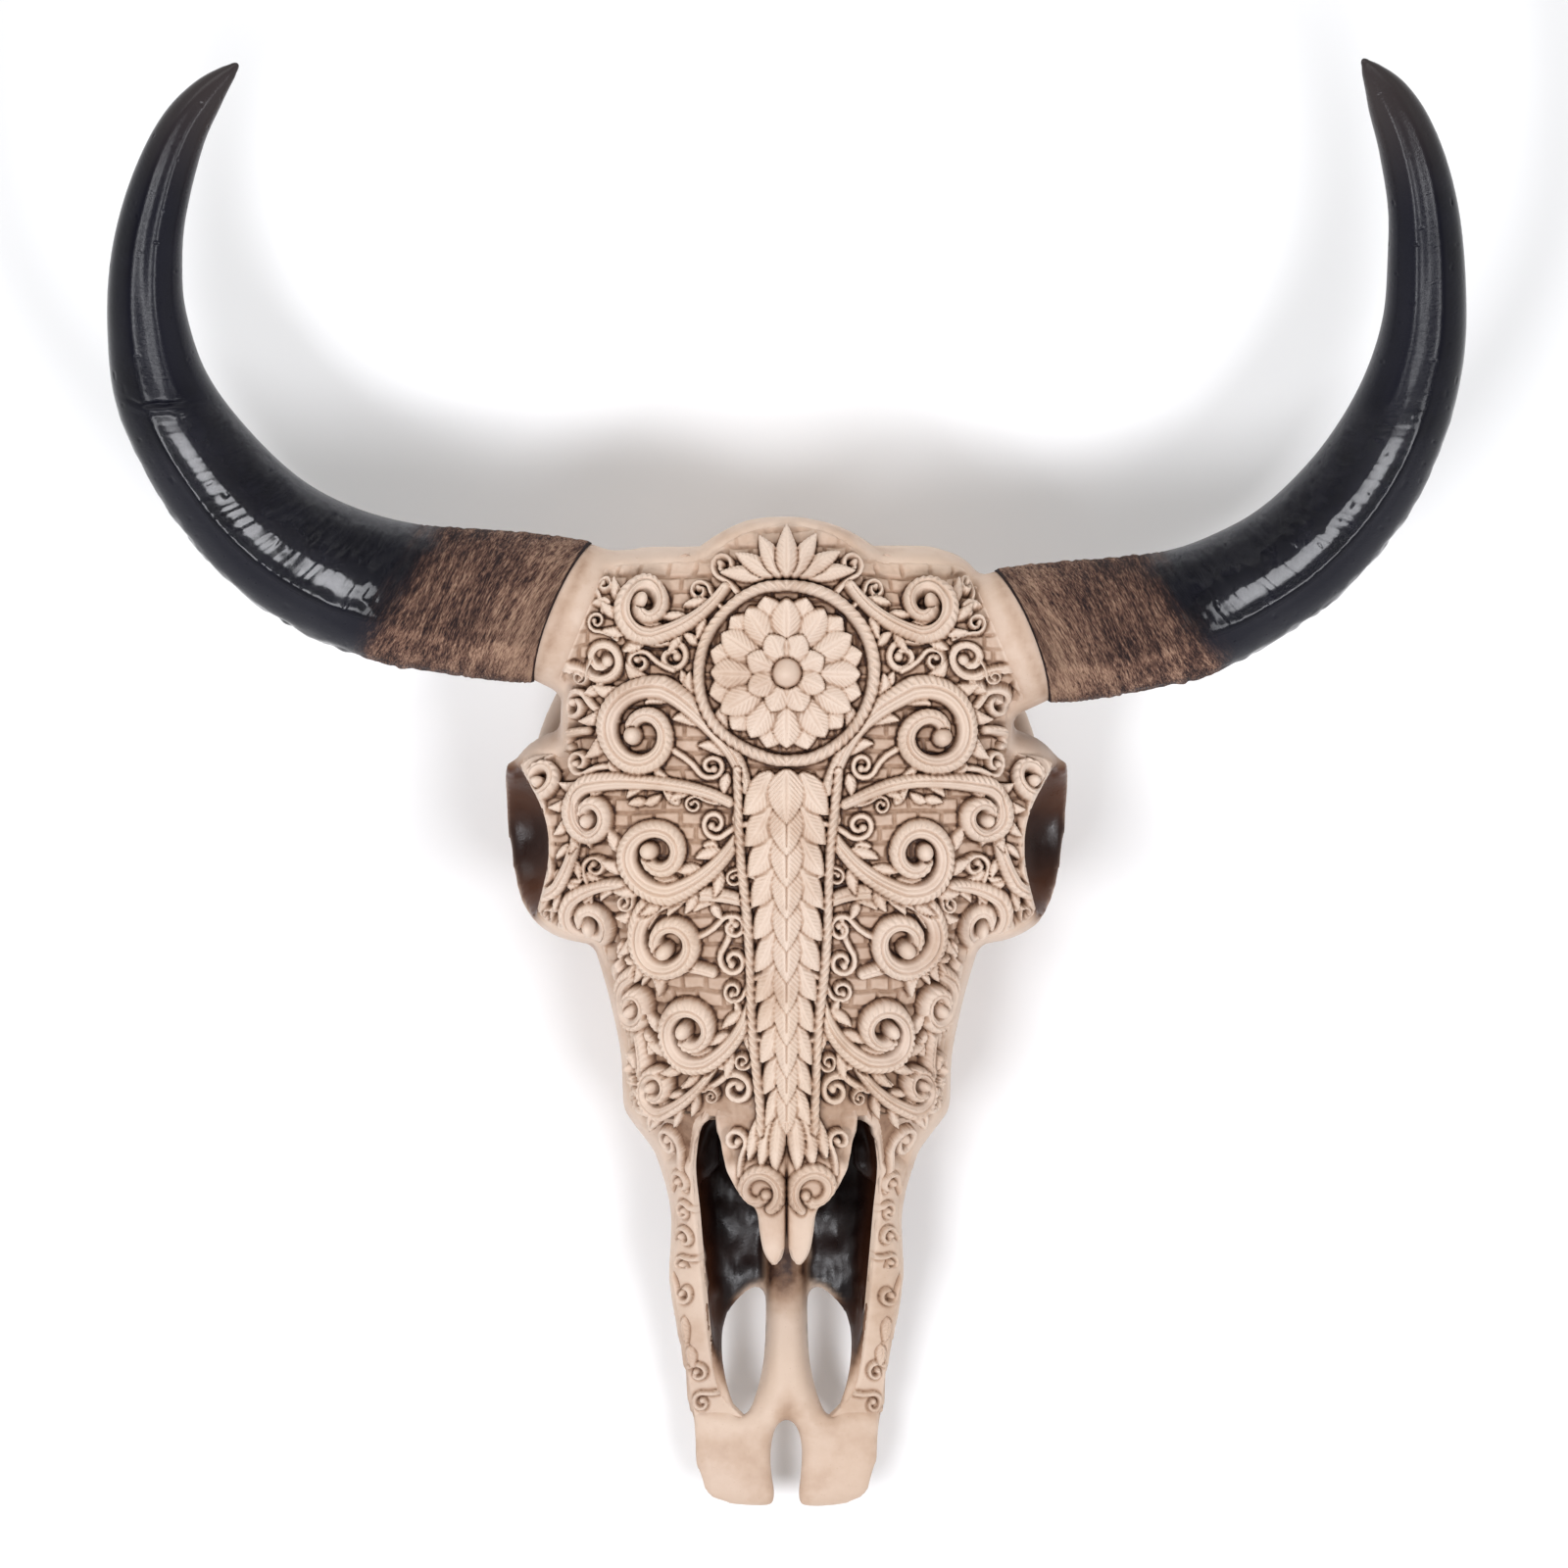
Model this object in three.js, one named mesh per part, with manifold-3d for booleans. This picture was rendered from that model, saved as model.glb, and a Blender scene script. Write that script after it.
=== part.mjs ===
// A bull's skull with carved ornament on its face, cast in one piece, and its two
// horns, each a separate casting that meets the skull at a collar of bone.
// The skull lies on its underside: tooth rows and condyles touch z = 0, the nose
// points to -Y, the crown to +Y, the face looks up and X runs across. Millimetres.
import * as THREE from 'three';
import { LoftGeometry } from 'three/addons/geometries/LoftGeometry.js';
import { mergeVertices } from 'three/addons/utils/BufferGeometryUtils.js';
import Module from 'manifold-3d';

const wasm = await Module();
wasm.setup();

const HORN_GAP = 0.3;
const RELIEF = 3.4;
const FACET_TOLERANCE = 0.4;

// The cross-sections of the skull stand at these places, closer where it turns fast.
const STATIONS = [
  82, 79.5, 73, 62, 42, 18, -6, -30, -54, -78, -98, -113, -120, -130, -144, -165, -188, -212, -235, -243,
  -248, -251,
];
const SECTION_POINTS = 28;

// Curves along the skull, as [y, size] from the crown to the nose.
const HALF_WIDTH = [
  [82, 50], [79, 60], [73, 66], [50, 72], [24, 78.5], [0, 77.5], [-20, 74], [-50, 68.5], [-78, 61],
  [-97, 57.6], [-113, 57], [-119, 53], [-130, 45.5], [-153, 40.3], [-170, 41], [-204, 36], [-235, 33],
  [-242, 31], [-247, 24.5], [-251, 13],
];
const TOP = [
  [82, 99], [79, 106], [73, 112.5], [60, 117.5], [40, 120], [0, 119.5], [-40, 116], [-80, 106],
  [-114, 93], [-138, 77], [-175, 57], [-215, 38], [-235, 33.5], [-251, 31],
];
const WAIST = [
  [82, 84], [60, 90], [20, 92], [0, 90], [-20, 86], [-60, 70], [-100, 52], [-124, 44], [-195, 35],
  [-251, 29.5],
];
const UNDERSIDE = [
  [82, 60], [79, 42], [73, 30], [60, 22], [40, 21], [0, 28], [-40, 29], [-80, 25], [-114, 23], [-251, 28],
];
const TOP_FULLNESS = [
  [82, 3], [20, 3.6], [-30, 3.3], [-70, 2.5], [-100, 2.2], [-124, 2.5], [-180, 3], [-251, 3],
];
const UNDERSIDE_FULLNESS = 1.6;

// The nose opening, as [y, half width] and [y, height] of its floor. Behind ROOF_END_Y
// it has a roof of bone, and in front of it the space is open above.
const ROOF_END_Y = -117;
const ROOF_THICKNESS = 9;
const ROOF_UNDERSIDE_Z = 83;
const OPEN_ABOVE_Z = 140;
const OPENING_END_Y = -226;
const OPENING = [
  [-70, 16], [-95, 24], [-117, 28.5], [-124, 31], [-135, 32.6], [-150, 31.2], [-172, 28.6], [-196, 26],
  [-211, 22.8], [-221, 15], [OPENING_END_Y, 7],
];
const OPENING_FLOOR = [[-70, 58], [-95, 38], [-117, 31], [-200, 30], [-215, 32], [OPENING_END_Y, 35]];

// One nasal bone, as [y, outer half width]; the pair is mirrored about x = 0.
const NASAL_OUTER = [
  [-92, 27], [-118, 25.6], [-128, 24.8], [-135, 23.6], [-142, 18], [-148, 13.6], [-158, 9.4], [-164, 7.4],
  [-167.5, 4.4],
];
const NASAL_SPLIT = [[-92, -1], [-152, -1], [-160, 0.5], [-167.5, 2.6]];
const NASAL_TOP = [[-92, 101.5], [-118, 94.5], [-150, 88], [-167.5, 85]];
const NASAL_THICKNESS = 6;
const NASAL_ARCH = 0.011;

// The swelling of the brow over each eye socket, and the other round forms.
const BROW = { at: [62, -18, 74], size: [34, 38, 34], fullness: 3.1, lean: 0.07 };
const POLL = { at: [0, 66, 103], size: [38, 26.5, 18] };
const CONDYLE = { at: [14, 73, 19], size: [13, 17, 20] };

// What is hollowed out: eye sockets, temples, throat and the hole for the spinal cord.
const EYE_SOCKET = { at: [98, -21, 86], size: [26, 26, 23] };
const TEMPLE = { at: [84, 33, 69], size: [34, 26, 20] };
const THROAT = { at: [0, -6, 24], size: [17, 36, 16] };
const CORD_HOLE = { radius: 10, y: 84, z: 42, depth: 50 };

// Bars of bone on one side, as [x, y, z, radius].
const CHEEK_ARCH = [[84, -6, 54, 7], [82, 10, 50, 6], [76, 28, 47, 5.5], [64, 46, 46, 6], [46, 60, 46, 9]];
const SOCKET_RIM = [
  [95.5, 6, 82, 2.5], [96, 0, 68, 2.5], [95, -16, 61.5, 2.4], [91.5, -36, 65, 2.4], [85, -48, 78, 2.5],
];
const NECK_PROCESS = [[40, 62, 40, 11], [39, 63, 20, 8], [37, 64, -1, 4.5]];

// The bar between the two slots in the palate, as [y, half width] and [y, height].
const PALATE_BAR = [[-146, 4], [-160, 7.5], [-190, 7], [-204, 9.5], [-218, 13], [-229, 14]];
const PALATE_BAR_TOP = [[-146, 34], [-165, 38], [-200, 38], [-229, 36]];
const PALATE_BAR_FOOT_Z = 26;
const PALATE_SLOT = [
  [8.2, -175], [14, -179], [20, -185.5], [22.4, -192], [22.2, -201], [20, -211], [16, -221.5], [11.6, -212],
  [8.8, -200], [7.6, -188],
];
const NOSE_NOTCH = [[0, -220.5], [3, -224], [5.6, -231], [5.4, -238], [3.4, -245], [2.6, -256]];
const SLOT_CUT = { low: -5, high: 60 };

// A row of cheek teeth under its ridge of bone.
const TOOTH_ROW = { x: 35, from: -36, to: -118, half: 7.2, teeth: 6, groove: 1.8, height: 18 };
const TOOTH_RIDGE = [[13, 9.5], [17, 10.5], [46, 11]];

// Horns: [x, y, z, radius] along the middle, from the collar to the tip.
const HORN_PATHS = {
  left: [
    [-77.5, 59.2, 95, 26.4], [-104, 62, 93.5, 26.2], [-132, 65.5, 91.5, 24.8], [-159.5, 74.2, 90.5, 23.6],
    [-183, 89.5, 91, 21.6], [-203, 112.5, 94, 19], [-216.5, 136, 99, 16.8], [-221.4, 160, 105, 14.1],
    [-221.6, 183, 111, 12.2], [-216.8, 205.4, 117, 10.8], [-209.6, 224.4, 122.5, 8.9],
    [-200.6, 237.6, 126, 6.3], [-189.6, 248.6, 128.5, 1.4],
  ],
  right: [
    [81.4, 51, 95, 24.9], [108, 53.6, 93.5, 24.4], [136.5, 58.5, 91.5, 22.8], [159.8, 68.3, 90.5, 21.4],
    [179, 81, 91, 20.4], [197.2, 100.5, 94, 19.2], [210.5, 122.7, 98, 17.7], [218.9, 146.5, 103, 15.8],
    [221.5, 172, 109, 13.8], [220.3, 197.9, 115, 12.3], [215.4, 220, 121, 10.7], [208, 237, 125.5, 7.9],
    [199, 250.2, 128.5, 1.4],
  ],
};
const COLLAR_ROOT = { x: 36, y: 54, z: 93, radius: 27 };
const COLLAR_MIDDLE = { x: 56, z: 94, wide: 26.6, high: 26 };
const COLLAR_SIDES = 16;
const SEAM_FACING = { left: [-0.923, 0.385, 0.02], right: [0.925, 0.381, 0.02] };
const HORN_RINGS = 19;
const HORN_SIDES = 12;

// Scrolls of the carving on one side, mirrored on the other: where the stem starts,
// the eye of the coil, its radius, the way it turns, how far the stem bows in
// degrees, and the stem's half width.
const SCROLLS = [
  { root: [14, -2], eye: [50, 17], radius: 17, turn: -1, bow: 30, half: 4.2 },
  { root: [20, -7], eye: [69, -11], radius: 10.5, turn: -1, bow: 20, half: 3.4 },
  { root: [16, -18], eye: [45, -25], radius: 14, turn: 1, bow: 25, half: 4 },
  { root: [13, -42], eye: [41, -55], radius: 14.5, turn: -1, bow: 35, half: 4 },
  { root: [11, -72], eye: [34, -86], radius: 13, turn: 1, bow: 35, half: 3.6 },
  { root: [26, -66], eye: [57, -77], radius: 10, turn: -1, bow: 25, half: 3.2 },
  { root: [22, 68], eye: [49, 62], radius: 11, turn: 1, bow: 25, half: 3.4 },
];
const STEM_STEPS = 3;
const COIL_STEPS = 9;
const COIL_TURNS = 1.15;
const COIL_TAIL = 0.34;

const ROSETTE = { y: 38, radius: 28, petals: 8, height: 4.5 };
const GARLAND = { from: 6, to: -106, leaves: 8, halfAtTop: 15, halfAtEnd: 9 };

const bone = new THREE.MeshStandardMaterial({ color: 0xe6d3bd, roughness: 0.5, metalness: 0 });
const horn = new THREE.MeshStandardMaterial({ color: 0x221d22, roughness: 0.25, metalness: 0 });

// The value at y on a smooth curve through a profile, with no overshoot.
function along(profile, y) {
  const last = profile.length - 1;
  if (y >= profile[0][0]) return profile[0][1];
  if (y <= profile[last][0]) return profile[last][1];
  const slope = (i) => (profile[i + 1][1] - profile[i][1]) / (profile[i + 1][0] - profile[i][0]);
  const tangent = (i) => {
    if (i === 0) return slope(0);
    if (i === last) return slope(last - 1);
    const before = slope(i - 1);
    const after = slope(i);
    return before * after <= 0 ? 0 : (2 * before * after) / (before + after);
  };
  let i = 0;
  while (y < profile[i + 1][0]) i += 1;
  const span = profile[i + 1][0] - profile[i][0];
  const t = (y - profile[i][0]) / span;
  return (
    profile[i][1] * (1 + 2 * t) * (1 - t) ** 2 +
    span * tangent(i) * t * (1 - t) ** 2 +
    profile[i + 1][1] * t * t * (3 - 2 * t) +
    span * tangent(i + 1) * t * t * (t - 1)
  );
}

function power(value, exponent) {
  return Math.sign(value) * Math.abs(value) ** exponent;
}

// A closed body for joining and cutting, with its faces turned outwards.
function solid(geometry) {
  const plain = new THREE.BufferGeometry().copy(geometry);
  plain.deleteAttribute('normal');
  plain.deleteAttribute('uv');
  const merged = mergeVertices(plain, 1e-4);
  const position = merged.getAttribute('position');
  const corners = [];
  let volume = 0;
  const [a, b, c] = [new THREE.Vector3(), new THREE.Vector3(), new THREE.Vector3()];
  for (let i = 0; i < merged.index.count; i += 3) {
    const [p, q, r] = [merged.index.getX(i), merged.index.getX(i + 1), merged.index.getX(i + 2)];
    if (p === q || q === r || r === p) continue;
    corners.push(p, q, r);
    a.fromBufferAttribute(position, p);
    b.fromBufferAttribute(position, q);
    c.fromBufferAttribute(position, r);
    volume += a.dot(b.cross(c));
  }
  if (volume < 0) corners.reverse();
  const mesh = new wasm.Mesh({
    numProp: 3,
    vertProperties: new Float32Array(position.array),
    triVerts: new Uint32Array(corners),
  });
  return new wasm.Manifold(mesh);
}

function piece(name, body, material) {
  const mesh = body.getMesh();
  const geometry = new THREE.BufferGeometry();
  geometry.setAttribute('position', new THREE.BufferAttribute(new Float32Array(mesh.vertProperties), 3));
  geometry.setIndex(new THREE.BufferAttribute(new Uint32Array(mesh.triVerts), 1));
  geometry.computeVertexNormals();
  const result = new THREE.Mesh(geometry, material);
  result.name = name;
  return result;
}

// A closed body through cross-sections, each turned the same way round first.
function loft(sections) {
  const [first, second] = sections;
  const turning = new THREE.Vector3();
  first.forEach((point, i) => turning.add(point.clone().cross(first[(i + 1) % first.length])));
  const onward = new THREE.Vector3();
  first.forEach((point, i) => onward.add(second[i]).sub(point));
  const ordered = turning.dot(onward) < 0 ? sections.map((section) => [...section].reverse()) : sections;
  return solid(new LoftGeometry(ordered, { capStart: true, capEnd: true }));
}

// A ball stretched to three radii; a fullness over 2 makes it boxier, and a lean
// slides it along X as it goes back.
function ball([x, y, z], [rx, ry, rz], around = 20, fullness = 2, lean = 0) {
  const geometry = new THREE.SphereGeometry(1, around, Math.round(around * 0.6));
  const position = geometry.getAttribute('position');
  for (let i = 0; i < position.count; i += 1) {
    position.setXYZ(
      i,
      power(position.getX(i), 2 / fullness) * rx,
      power(position.getY(i), 2 / fullness) * ry,
      power(position.getZ(i), 2 / fullness) * rz,
    );
  }
  for (let i = 0; i < position.count; i += 1) position.setX(i, position.getX(i) + lean * position.getY(i));
  geometry.translate(x, y, z);
  return solid(geometry);
}

// A bar along points [x, y, z, radius], closed at both ends.
function bar(points, sides) {
  const stations = points.map(([x, y, z]) => new THREE.Vector3(x, y, z));
  const sections = stations.map((centre, i) => {
    const before = stations[Math.max(i - 1, 0)];
    const after = stations[Math.min(i + 1, stations.length - 1)];
    return ring(centre, after.clone().sub(before), points[i][3], points[i][3], sides);
  });
  return loft(sections);
}

// A ring of points around a centre, square to a direction; wide across it, high along Z.
function ring(centre, direction, wide, high, sides) {
  const ahead = direction.clone().normalize();
  const across = new THREE.Vector3().crossVectors(ahead, new THREE.Vector3(0, 0, 1)).normalize();
  const up = new THREE.Vector3().crossVectors(across, ahead).normalize();
  const points = [];
  for (let k = 0; k < sides; k += 1) {
    const angle = (2 * Math.PI * k) / sides;
    const point = centre.clone();
    point.addScaledVector(across, wide * Math.cos(angle));
    point.addScaledVector(up, high * Math.sin(angle));
    points.push(point);
  }
  return points;
}

// A flat outline [x, y] cut or raised between two heights.
function prism(outline, low, high) {
  const shape = new THREE.Shape(outline.map(([x, y]) => new THREE.Vector2(x, y)));
  const geometry = new THREE.ExtrudeGeometry(shape, { depth: high - low, bevelEnabled: false });
  geometry.translate(0, 0, low);
  const indexed = mergeVertices(geometry, 1e-4);
  return solid(indexed);
}

function mirrored(outline) {
  return outline.map(([x, y]) => [-x, y]).reverse();
}

// One cross-section of the skull at y, as a ring of points.
function skullSection(y) {
  const [wide, top, waist, low] = [HALF_WIDTH, TOP, WAIST, UNDERSIDE].map((profile) => along(profile, y));
  const points = [];
  for (let k = 0; k < SECTION_POINTS; k += 1) {
    const angle = (2 * Math.PI * k) / SECTION_POINTS;
    const [c, s] = [Math.cos(angle), Math.sin(angle)];
    const fullness = s >= 0 ? along(TOP_FULLNESS, y) : UNDERSIDE_FULLNESS;
    const height = s >= 0 ? top - waist : waist - low;
    points.push(new THREE.Vector3(wide * power(c, 2 / fullness), y, waist + height * power(s, 2 / fullness)));
  }
  return points;
}

// The height of the face at x, y: the skull's own top, or the brow over the eye socket.
function faceHeight(x, y) {
  const fullness = along(TOP_FULLNESS, y);
  const waist = along(WAIST, y);
  const reach = Math.min(Math.abs(x) / along(HALF_WIDTH, y), 1);
  const skull = waist + (along(TOP, y) - waist) * (1 - reach ** fullness) ** (1 / fullness);
  const back = y - BROW.at[1];
  const out = Math.abs((Math.abs(x) - BROW.at[0] - BROW.lean * back) / BROW.size[0]) ** BROW.fullness;
  const side = Math.abs(back / BROW.size[1]) ** BROW.fullness;
  const brow = BROW.at[2] + BROW.size[2] * Math.max(0, 1 - out - side) ** (1 / BROW.fullness);
  return Math.max(skull, brow);
}

// Where a point lies that is a certain way from the midline, measured over the face.
function facePoint(way, y) {
  let x = 0;
  let travelled = 0;
  const step = 1;
  while (travelled < Math.abs(way)) {
    const rise = faceHeight(x + step, y) - faceHeight(x, y);
    travelled += Math.hypot(step, rise);
    x += step;
  }
  x -= Math.min(travelled - Math.abs(way), step);
  return new THREE.Vector3(Math.sign(way) * x, y, faceHeight(x, y));
}

// The collar of bone that carries a horn, from inside the skull to the seam.
function collar(side) {
  const sign = side === 'left' ? -1 : 1;
  const [x, y, z, radius] = HORN_PATHS[side][0];
  const facing = new THREE.Vector3(...SEAM_FACING[side]).normalize();
  const seam = new THREE.Vector3(x, y, z).addScaledVector(facing, -HORN_GAP);
  const outward = new THREE.Vector3(sign, 0, 0);
  const root = new THREE.Vector3(sign * COLLAR_ROOT.x, COLLAR_ROOT.y, COLLAR_ROOT.z);
  const middle = new THREE.Vector3(sign * COLLAR_MIDDLE.x, y / 2 + 25, COLLAR_MIDDLE.z);
  const nearSeam = seam.clone().addScaledVector(facing, -9);
  return loft([
    ring(root, outward, COLLAR_ROOT.radius, COLLAR_ROOT.radius, COLLAR_SIDES),
    ring(middle, outward, COLLAR_MIDDLE.wide, COLLAR_MIDDLE.high, COLLAR_SIDES),
    ring(nearSeam, facing, radius - 0.2, radius - 1.5, COLLAR_SIDES),
    ring(seam, facing, radius - 0.6, radius - 0.8, COLLAR_SIDES),
  ]);
}

function hornBody(side) {
  const path = HORN_PATHS[side];
  const places = path.map(([x, y, z]) => new THREE.Vector3(x, y, z));
  const middle = new THREE.CatmullRomCurve3(places, false, 'catmullrom');
  const radii = path.map((point) => new THREE.Vector3(point[3], 0, 0));
  const girth = new THREE.CatmullRomCurve3(radii, false, 'catmullrom');
  const facing = new THREE.Vector3(...SEAM_FACING[side]).normalize();
  const sections = [];
  for (let k = 0; k <= HORN_RINGS; k += 1) {
    const t = k / HORN_RINGS;
    const radius = girth.getPoint(t).x;
    const direction = middle.getTangent(t).normalize();
    direction.lerp(facing, Math.max(0, 1 - t * 12));
    sections.push(ring(middle.getPoint(t), direction, radius, radius * 0.97, HORN_SIDES));
  }
  return loft(sections);
}

// The space behind the nose: roofed at the back, open above at the front.
function nasalSpace() {
  const stations = [-70, -92, ROOF_END_Y + 0.5, ROOF_END_Y - 0.5, -125, -135, -150, -172, -194, -209,
    -219, OPENING_END_Y];
  return loft(stations.map((y) => {
    const wide = along(OPENING, y);
    const low = along(OPENING_FLOOR, y);
    const roofed = Math.min(along(TOP, y) - ROOF_THICKNESS, ROOF_UNDERSIDE_Z);
    const high = y > ROOF_END_Y ? roofed : OPEN_ABOVE_Z;
    const middle = (low + Math.min(high, along(TOP, y))) / 2;
    return [[wide, high], [wide * 0.98, middle], [wide * 0.9, low + 5], [wide * 0.6, low],
      [-wide * 0.6, low], [-wide * 0.9, low + 5], [-wide * 0.98, middle], [-wide, high]]
      .map(([x, z]) => new THREE.Vector3(x, y, z));
  }));
}

function nasalBone(side) {
  const stations = [-92, -118, -130, -137, -143, -150, -160, -167.5];
  return loft(stations.map((y) => {
    const outer = along(NASAL_OUTER, y);
    const inner = along(NASAL_SPLIT, y);
    const top = along(NASAL_TOP, y);
    const drop = (x) => NASAL_ARCH * x * x;
    const thick = NASAL_THICKNESS * (y < -160 ? 0.7 : 1);
    const half = (outer - inner) / 2;
    const upper = [0, 0.12, 0.5, 0.85, 1].map((f) => {
      const x = inner + 2 * half * f;
      const edge = f === 0 || f === 1 ? thick / 2 : 0;
      return new THREE.Vector3(side * x, y, top - drop(x) - edge);
    });
    const lower = [0.85, 0.12].map((f) => {
      const x = inner + 2 * half * f;
      return new THREE.Vector3(side * x, y, top - drop(x) - thick);
    });
    return [...upper, ...lower];
  }));
}

function palateBar() {
  return loft([-146, -158, -172, -190, -204, -218, -229].map((y) => {
    const half = along(PALATE_BAR, y);
    const top = along(PALATE_BAR_TOP, y);
    const outline = [
      [-half, PALATE_BAR_FOOT_Z], [-half * 0.85, top - 2], [-half * 0.3, top],
      [half * 0.3, top], [half * 0.85, top - 2], [half, PALATE_BAR_FOOT_Z],
    ];
    return outline.map(([x, z]) => new THREE.Vector3(x, y, z));
  }));
}

function toothRow(side) {
  const { x, from, to, half, teeth, groove, height } = TOOTH_ROW;
  const lobes = teeth * 2;
  const pitch = (to - from) / lobes;
  const outer = [];
  for (let k = 0; k <= lobes; k += 1) outer.push([half - (k % 2 === 0 ? groove : 0), from + pitch * k]);
  const inner = outer.map(([w, y]) => [-w, y]).reverse();
  const crowns = prism([...outer, ...inner].map(([w, y]) => [side * (x + w), y]), 0, height);
  const [start, end] = [from + 4, to - 4];
  const ridge = loft(TOOTH_RIDGE.map(([z, wide]) => {
    const outline = [[-wide, start - 6], [-wide * 0.6, start], [wide * 0.6, start], [wide, start - 6],
      [wide, end + 6], [wide * 0.6, end], [-wide * 0.6, end], [-wide, end + 6]];
    return outline.map(([w, y]) => new THREE.Vector3(side * (x - 1 + w), y, z));
  }));
  return crowns.add(ridge);
}

// The line of a scroll on one side, as [way from the midline, y] pairs.
function scrollLine({ root, eye, radius, turn, bow }) {
  const [reachX, reachY] = [eye[0] - root[0], eye[1] - root[1]];
  const reach = Math.hypot(reachX, reachY);
  const straight = Math.atan2(reachY, reachX) - turn * Math.asin(radius / reach);
  const heading = straight + turn * THREE.MathUtils.degToRad(bow);
  const begin = heading - (turn * Math.PI) / 2;
  const touch = new THREE.Vector2(eye[0] + radius * Math.cos(begin), eye[1] + radius * Math.sin(begin));
  const start = new THREE.Vector2(...root);
  const lead = touch.distanceTo(start) / 2;
  const forward = new THREE.Vector2(Math.cos(heading), Math.sin(heading));
  const bend = touch.clone().sub(forward.multiplyScalar(lead));
  const line = new THREE.QuadraticBezierCurve(start, bend, touch).getPoints(STEM_STEPS);
  for (let k = 1; k <= COIL_STEPS; k += 1) {
    const t = k / COIL_STEPS;
    const size = radius * (1 - (1 - COIL_TAIL) * t ** 0.8);
    const angle = begin + turn * COIL_TURNS * 2 * Math.PI * t;
    line.push(new THREE.Vector2(eye[0] + size * Math.cos(angle), eye[1] + size * Math.sin(angle)));
  }
  return line;
}

// A raised stem that follows a scroll's line over the face.
function scrollStem(scroll, side) {
  const line = scrollLine(scroll);
  const points = line.map(({ x, y }) => facePoint(side * x, y));
  return loft(points.map((point, i) => {
    const before = points[Math.max(i - 1, 0)];
    const after = points[Math.min(i + 1, points.length - 1)];
    const ahead = after.clone().sub(before).normalize();
    const slopeX = faceHeight(point.x + 1, point.y) - faceHeight(point.x - 1, point.y);
    const slopeY = faceHeight(point.x, point.y + 1) - faceHeight(point.x, point.y - 1);
    const out = new THREE.Vector3(-slopeX / 2, -slopeY / 2, 1).normalize();
    const across = new THREE.Vector3().crossVectors(ahead, out).normalize();
    const half = scroll.half * (i === 0 ? 0.6 : 1);
    return [[-half, -1.5], [0, RELIEF], [half, -1.5]]
      .map(([w, h]) => point.clone().addScaledVector(across, w).addScaledVector(out, h));
  }));
}

// The rosette on the forehead: petals round a button, on a raised ring.
function rosette() {
  const { y, radius, petals, height } = ROSETTE;
  const base = faceHeight(0, y);
  const bodies = [ball([0, y, base], [radius * 0.3, radius * 0.3, height + 2], 10)];
  for (let k = 0; k < petals; k += 1) {
    const angle = (2 * Math.PI * (k + 0.5)) / petals;
    const away = radius * 0.62;
    const petal = new THREE.SphereGeometry(1, 6, 4);
    petal.scale(radius * 0.4, radius * 0.24, height);
    petal.rotateZ(angle);
    petal.translate(away * Math.cos(angle), y + away * Math.sin(angle), base);
    bodies.push(solid(petal));
  }
  return bodies;
}

// The garland down the bridge of the nose: leaves laid over each other like tiles.
function garland() {
  const { from, to, leaves, halfAtTop, halfAtEnd } = GARLAND;
  const pitch = (to - from) / leaves;
  const bodies = [];
  for (let k = 0; k < leaves; k += 1) {
    const start = from + pitch * k;
    const half = THREE.MathUtils.lerp(halfAtTop, halfAtEnd, k / (leaves - 1));
    const rows = [[0, 0.9, 0.4], [0.75, 1, 1], [1.12, 0.55, 1.25]];
    bodies.push(loft(rows.map(([f, wide, lift]) => {
      const y = start + pitch * f;
      const top = faceHeight(0, y) + (RELIEF + 0.8) * lift;
      const outline = [
        [-half * wide, top - 9], [-half * wide, top - 3], [0, top],
        [half * wide, top - 3], [half * wide, top - 9],
      ];
      return outline.map(([x, z]) => new THREE.Vector3(x, y, z));
    })));
  }
  return bodies;
}

// The largest body of a join: pockets sealed between its pieces are filled.
function outerBody(body) {
  return body.decompose().reduce((largest, bit) => (bit.volume() > largest.volume() ? bit : largest));
}

// A form made on the left and on the right.
function pair(make) {
  return [make(-1), make(1)];
}

function pairOfBalls({ at: [x, y, z], size, fullness = 2, lean = 0 }, around) {
  return pair((side) => ball([side * x, y, z], size, around, fullness, side * lean));
}

function pairOfBars(points, sides) {
  return pair((side) => bar(points.map(([x, y, z, radius]) => [side * x, y, z, radius]), sides));
}

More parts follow.
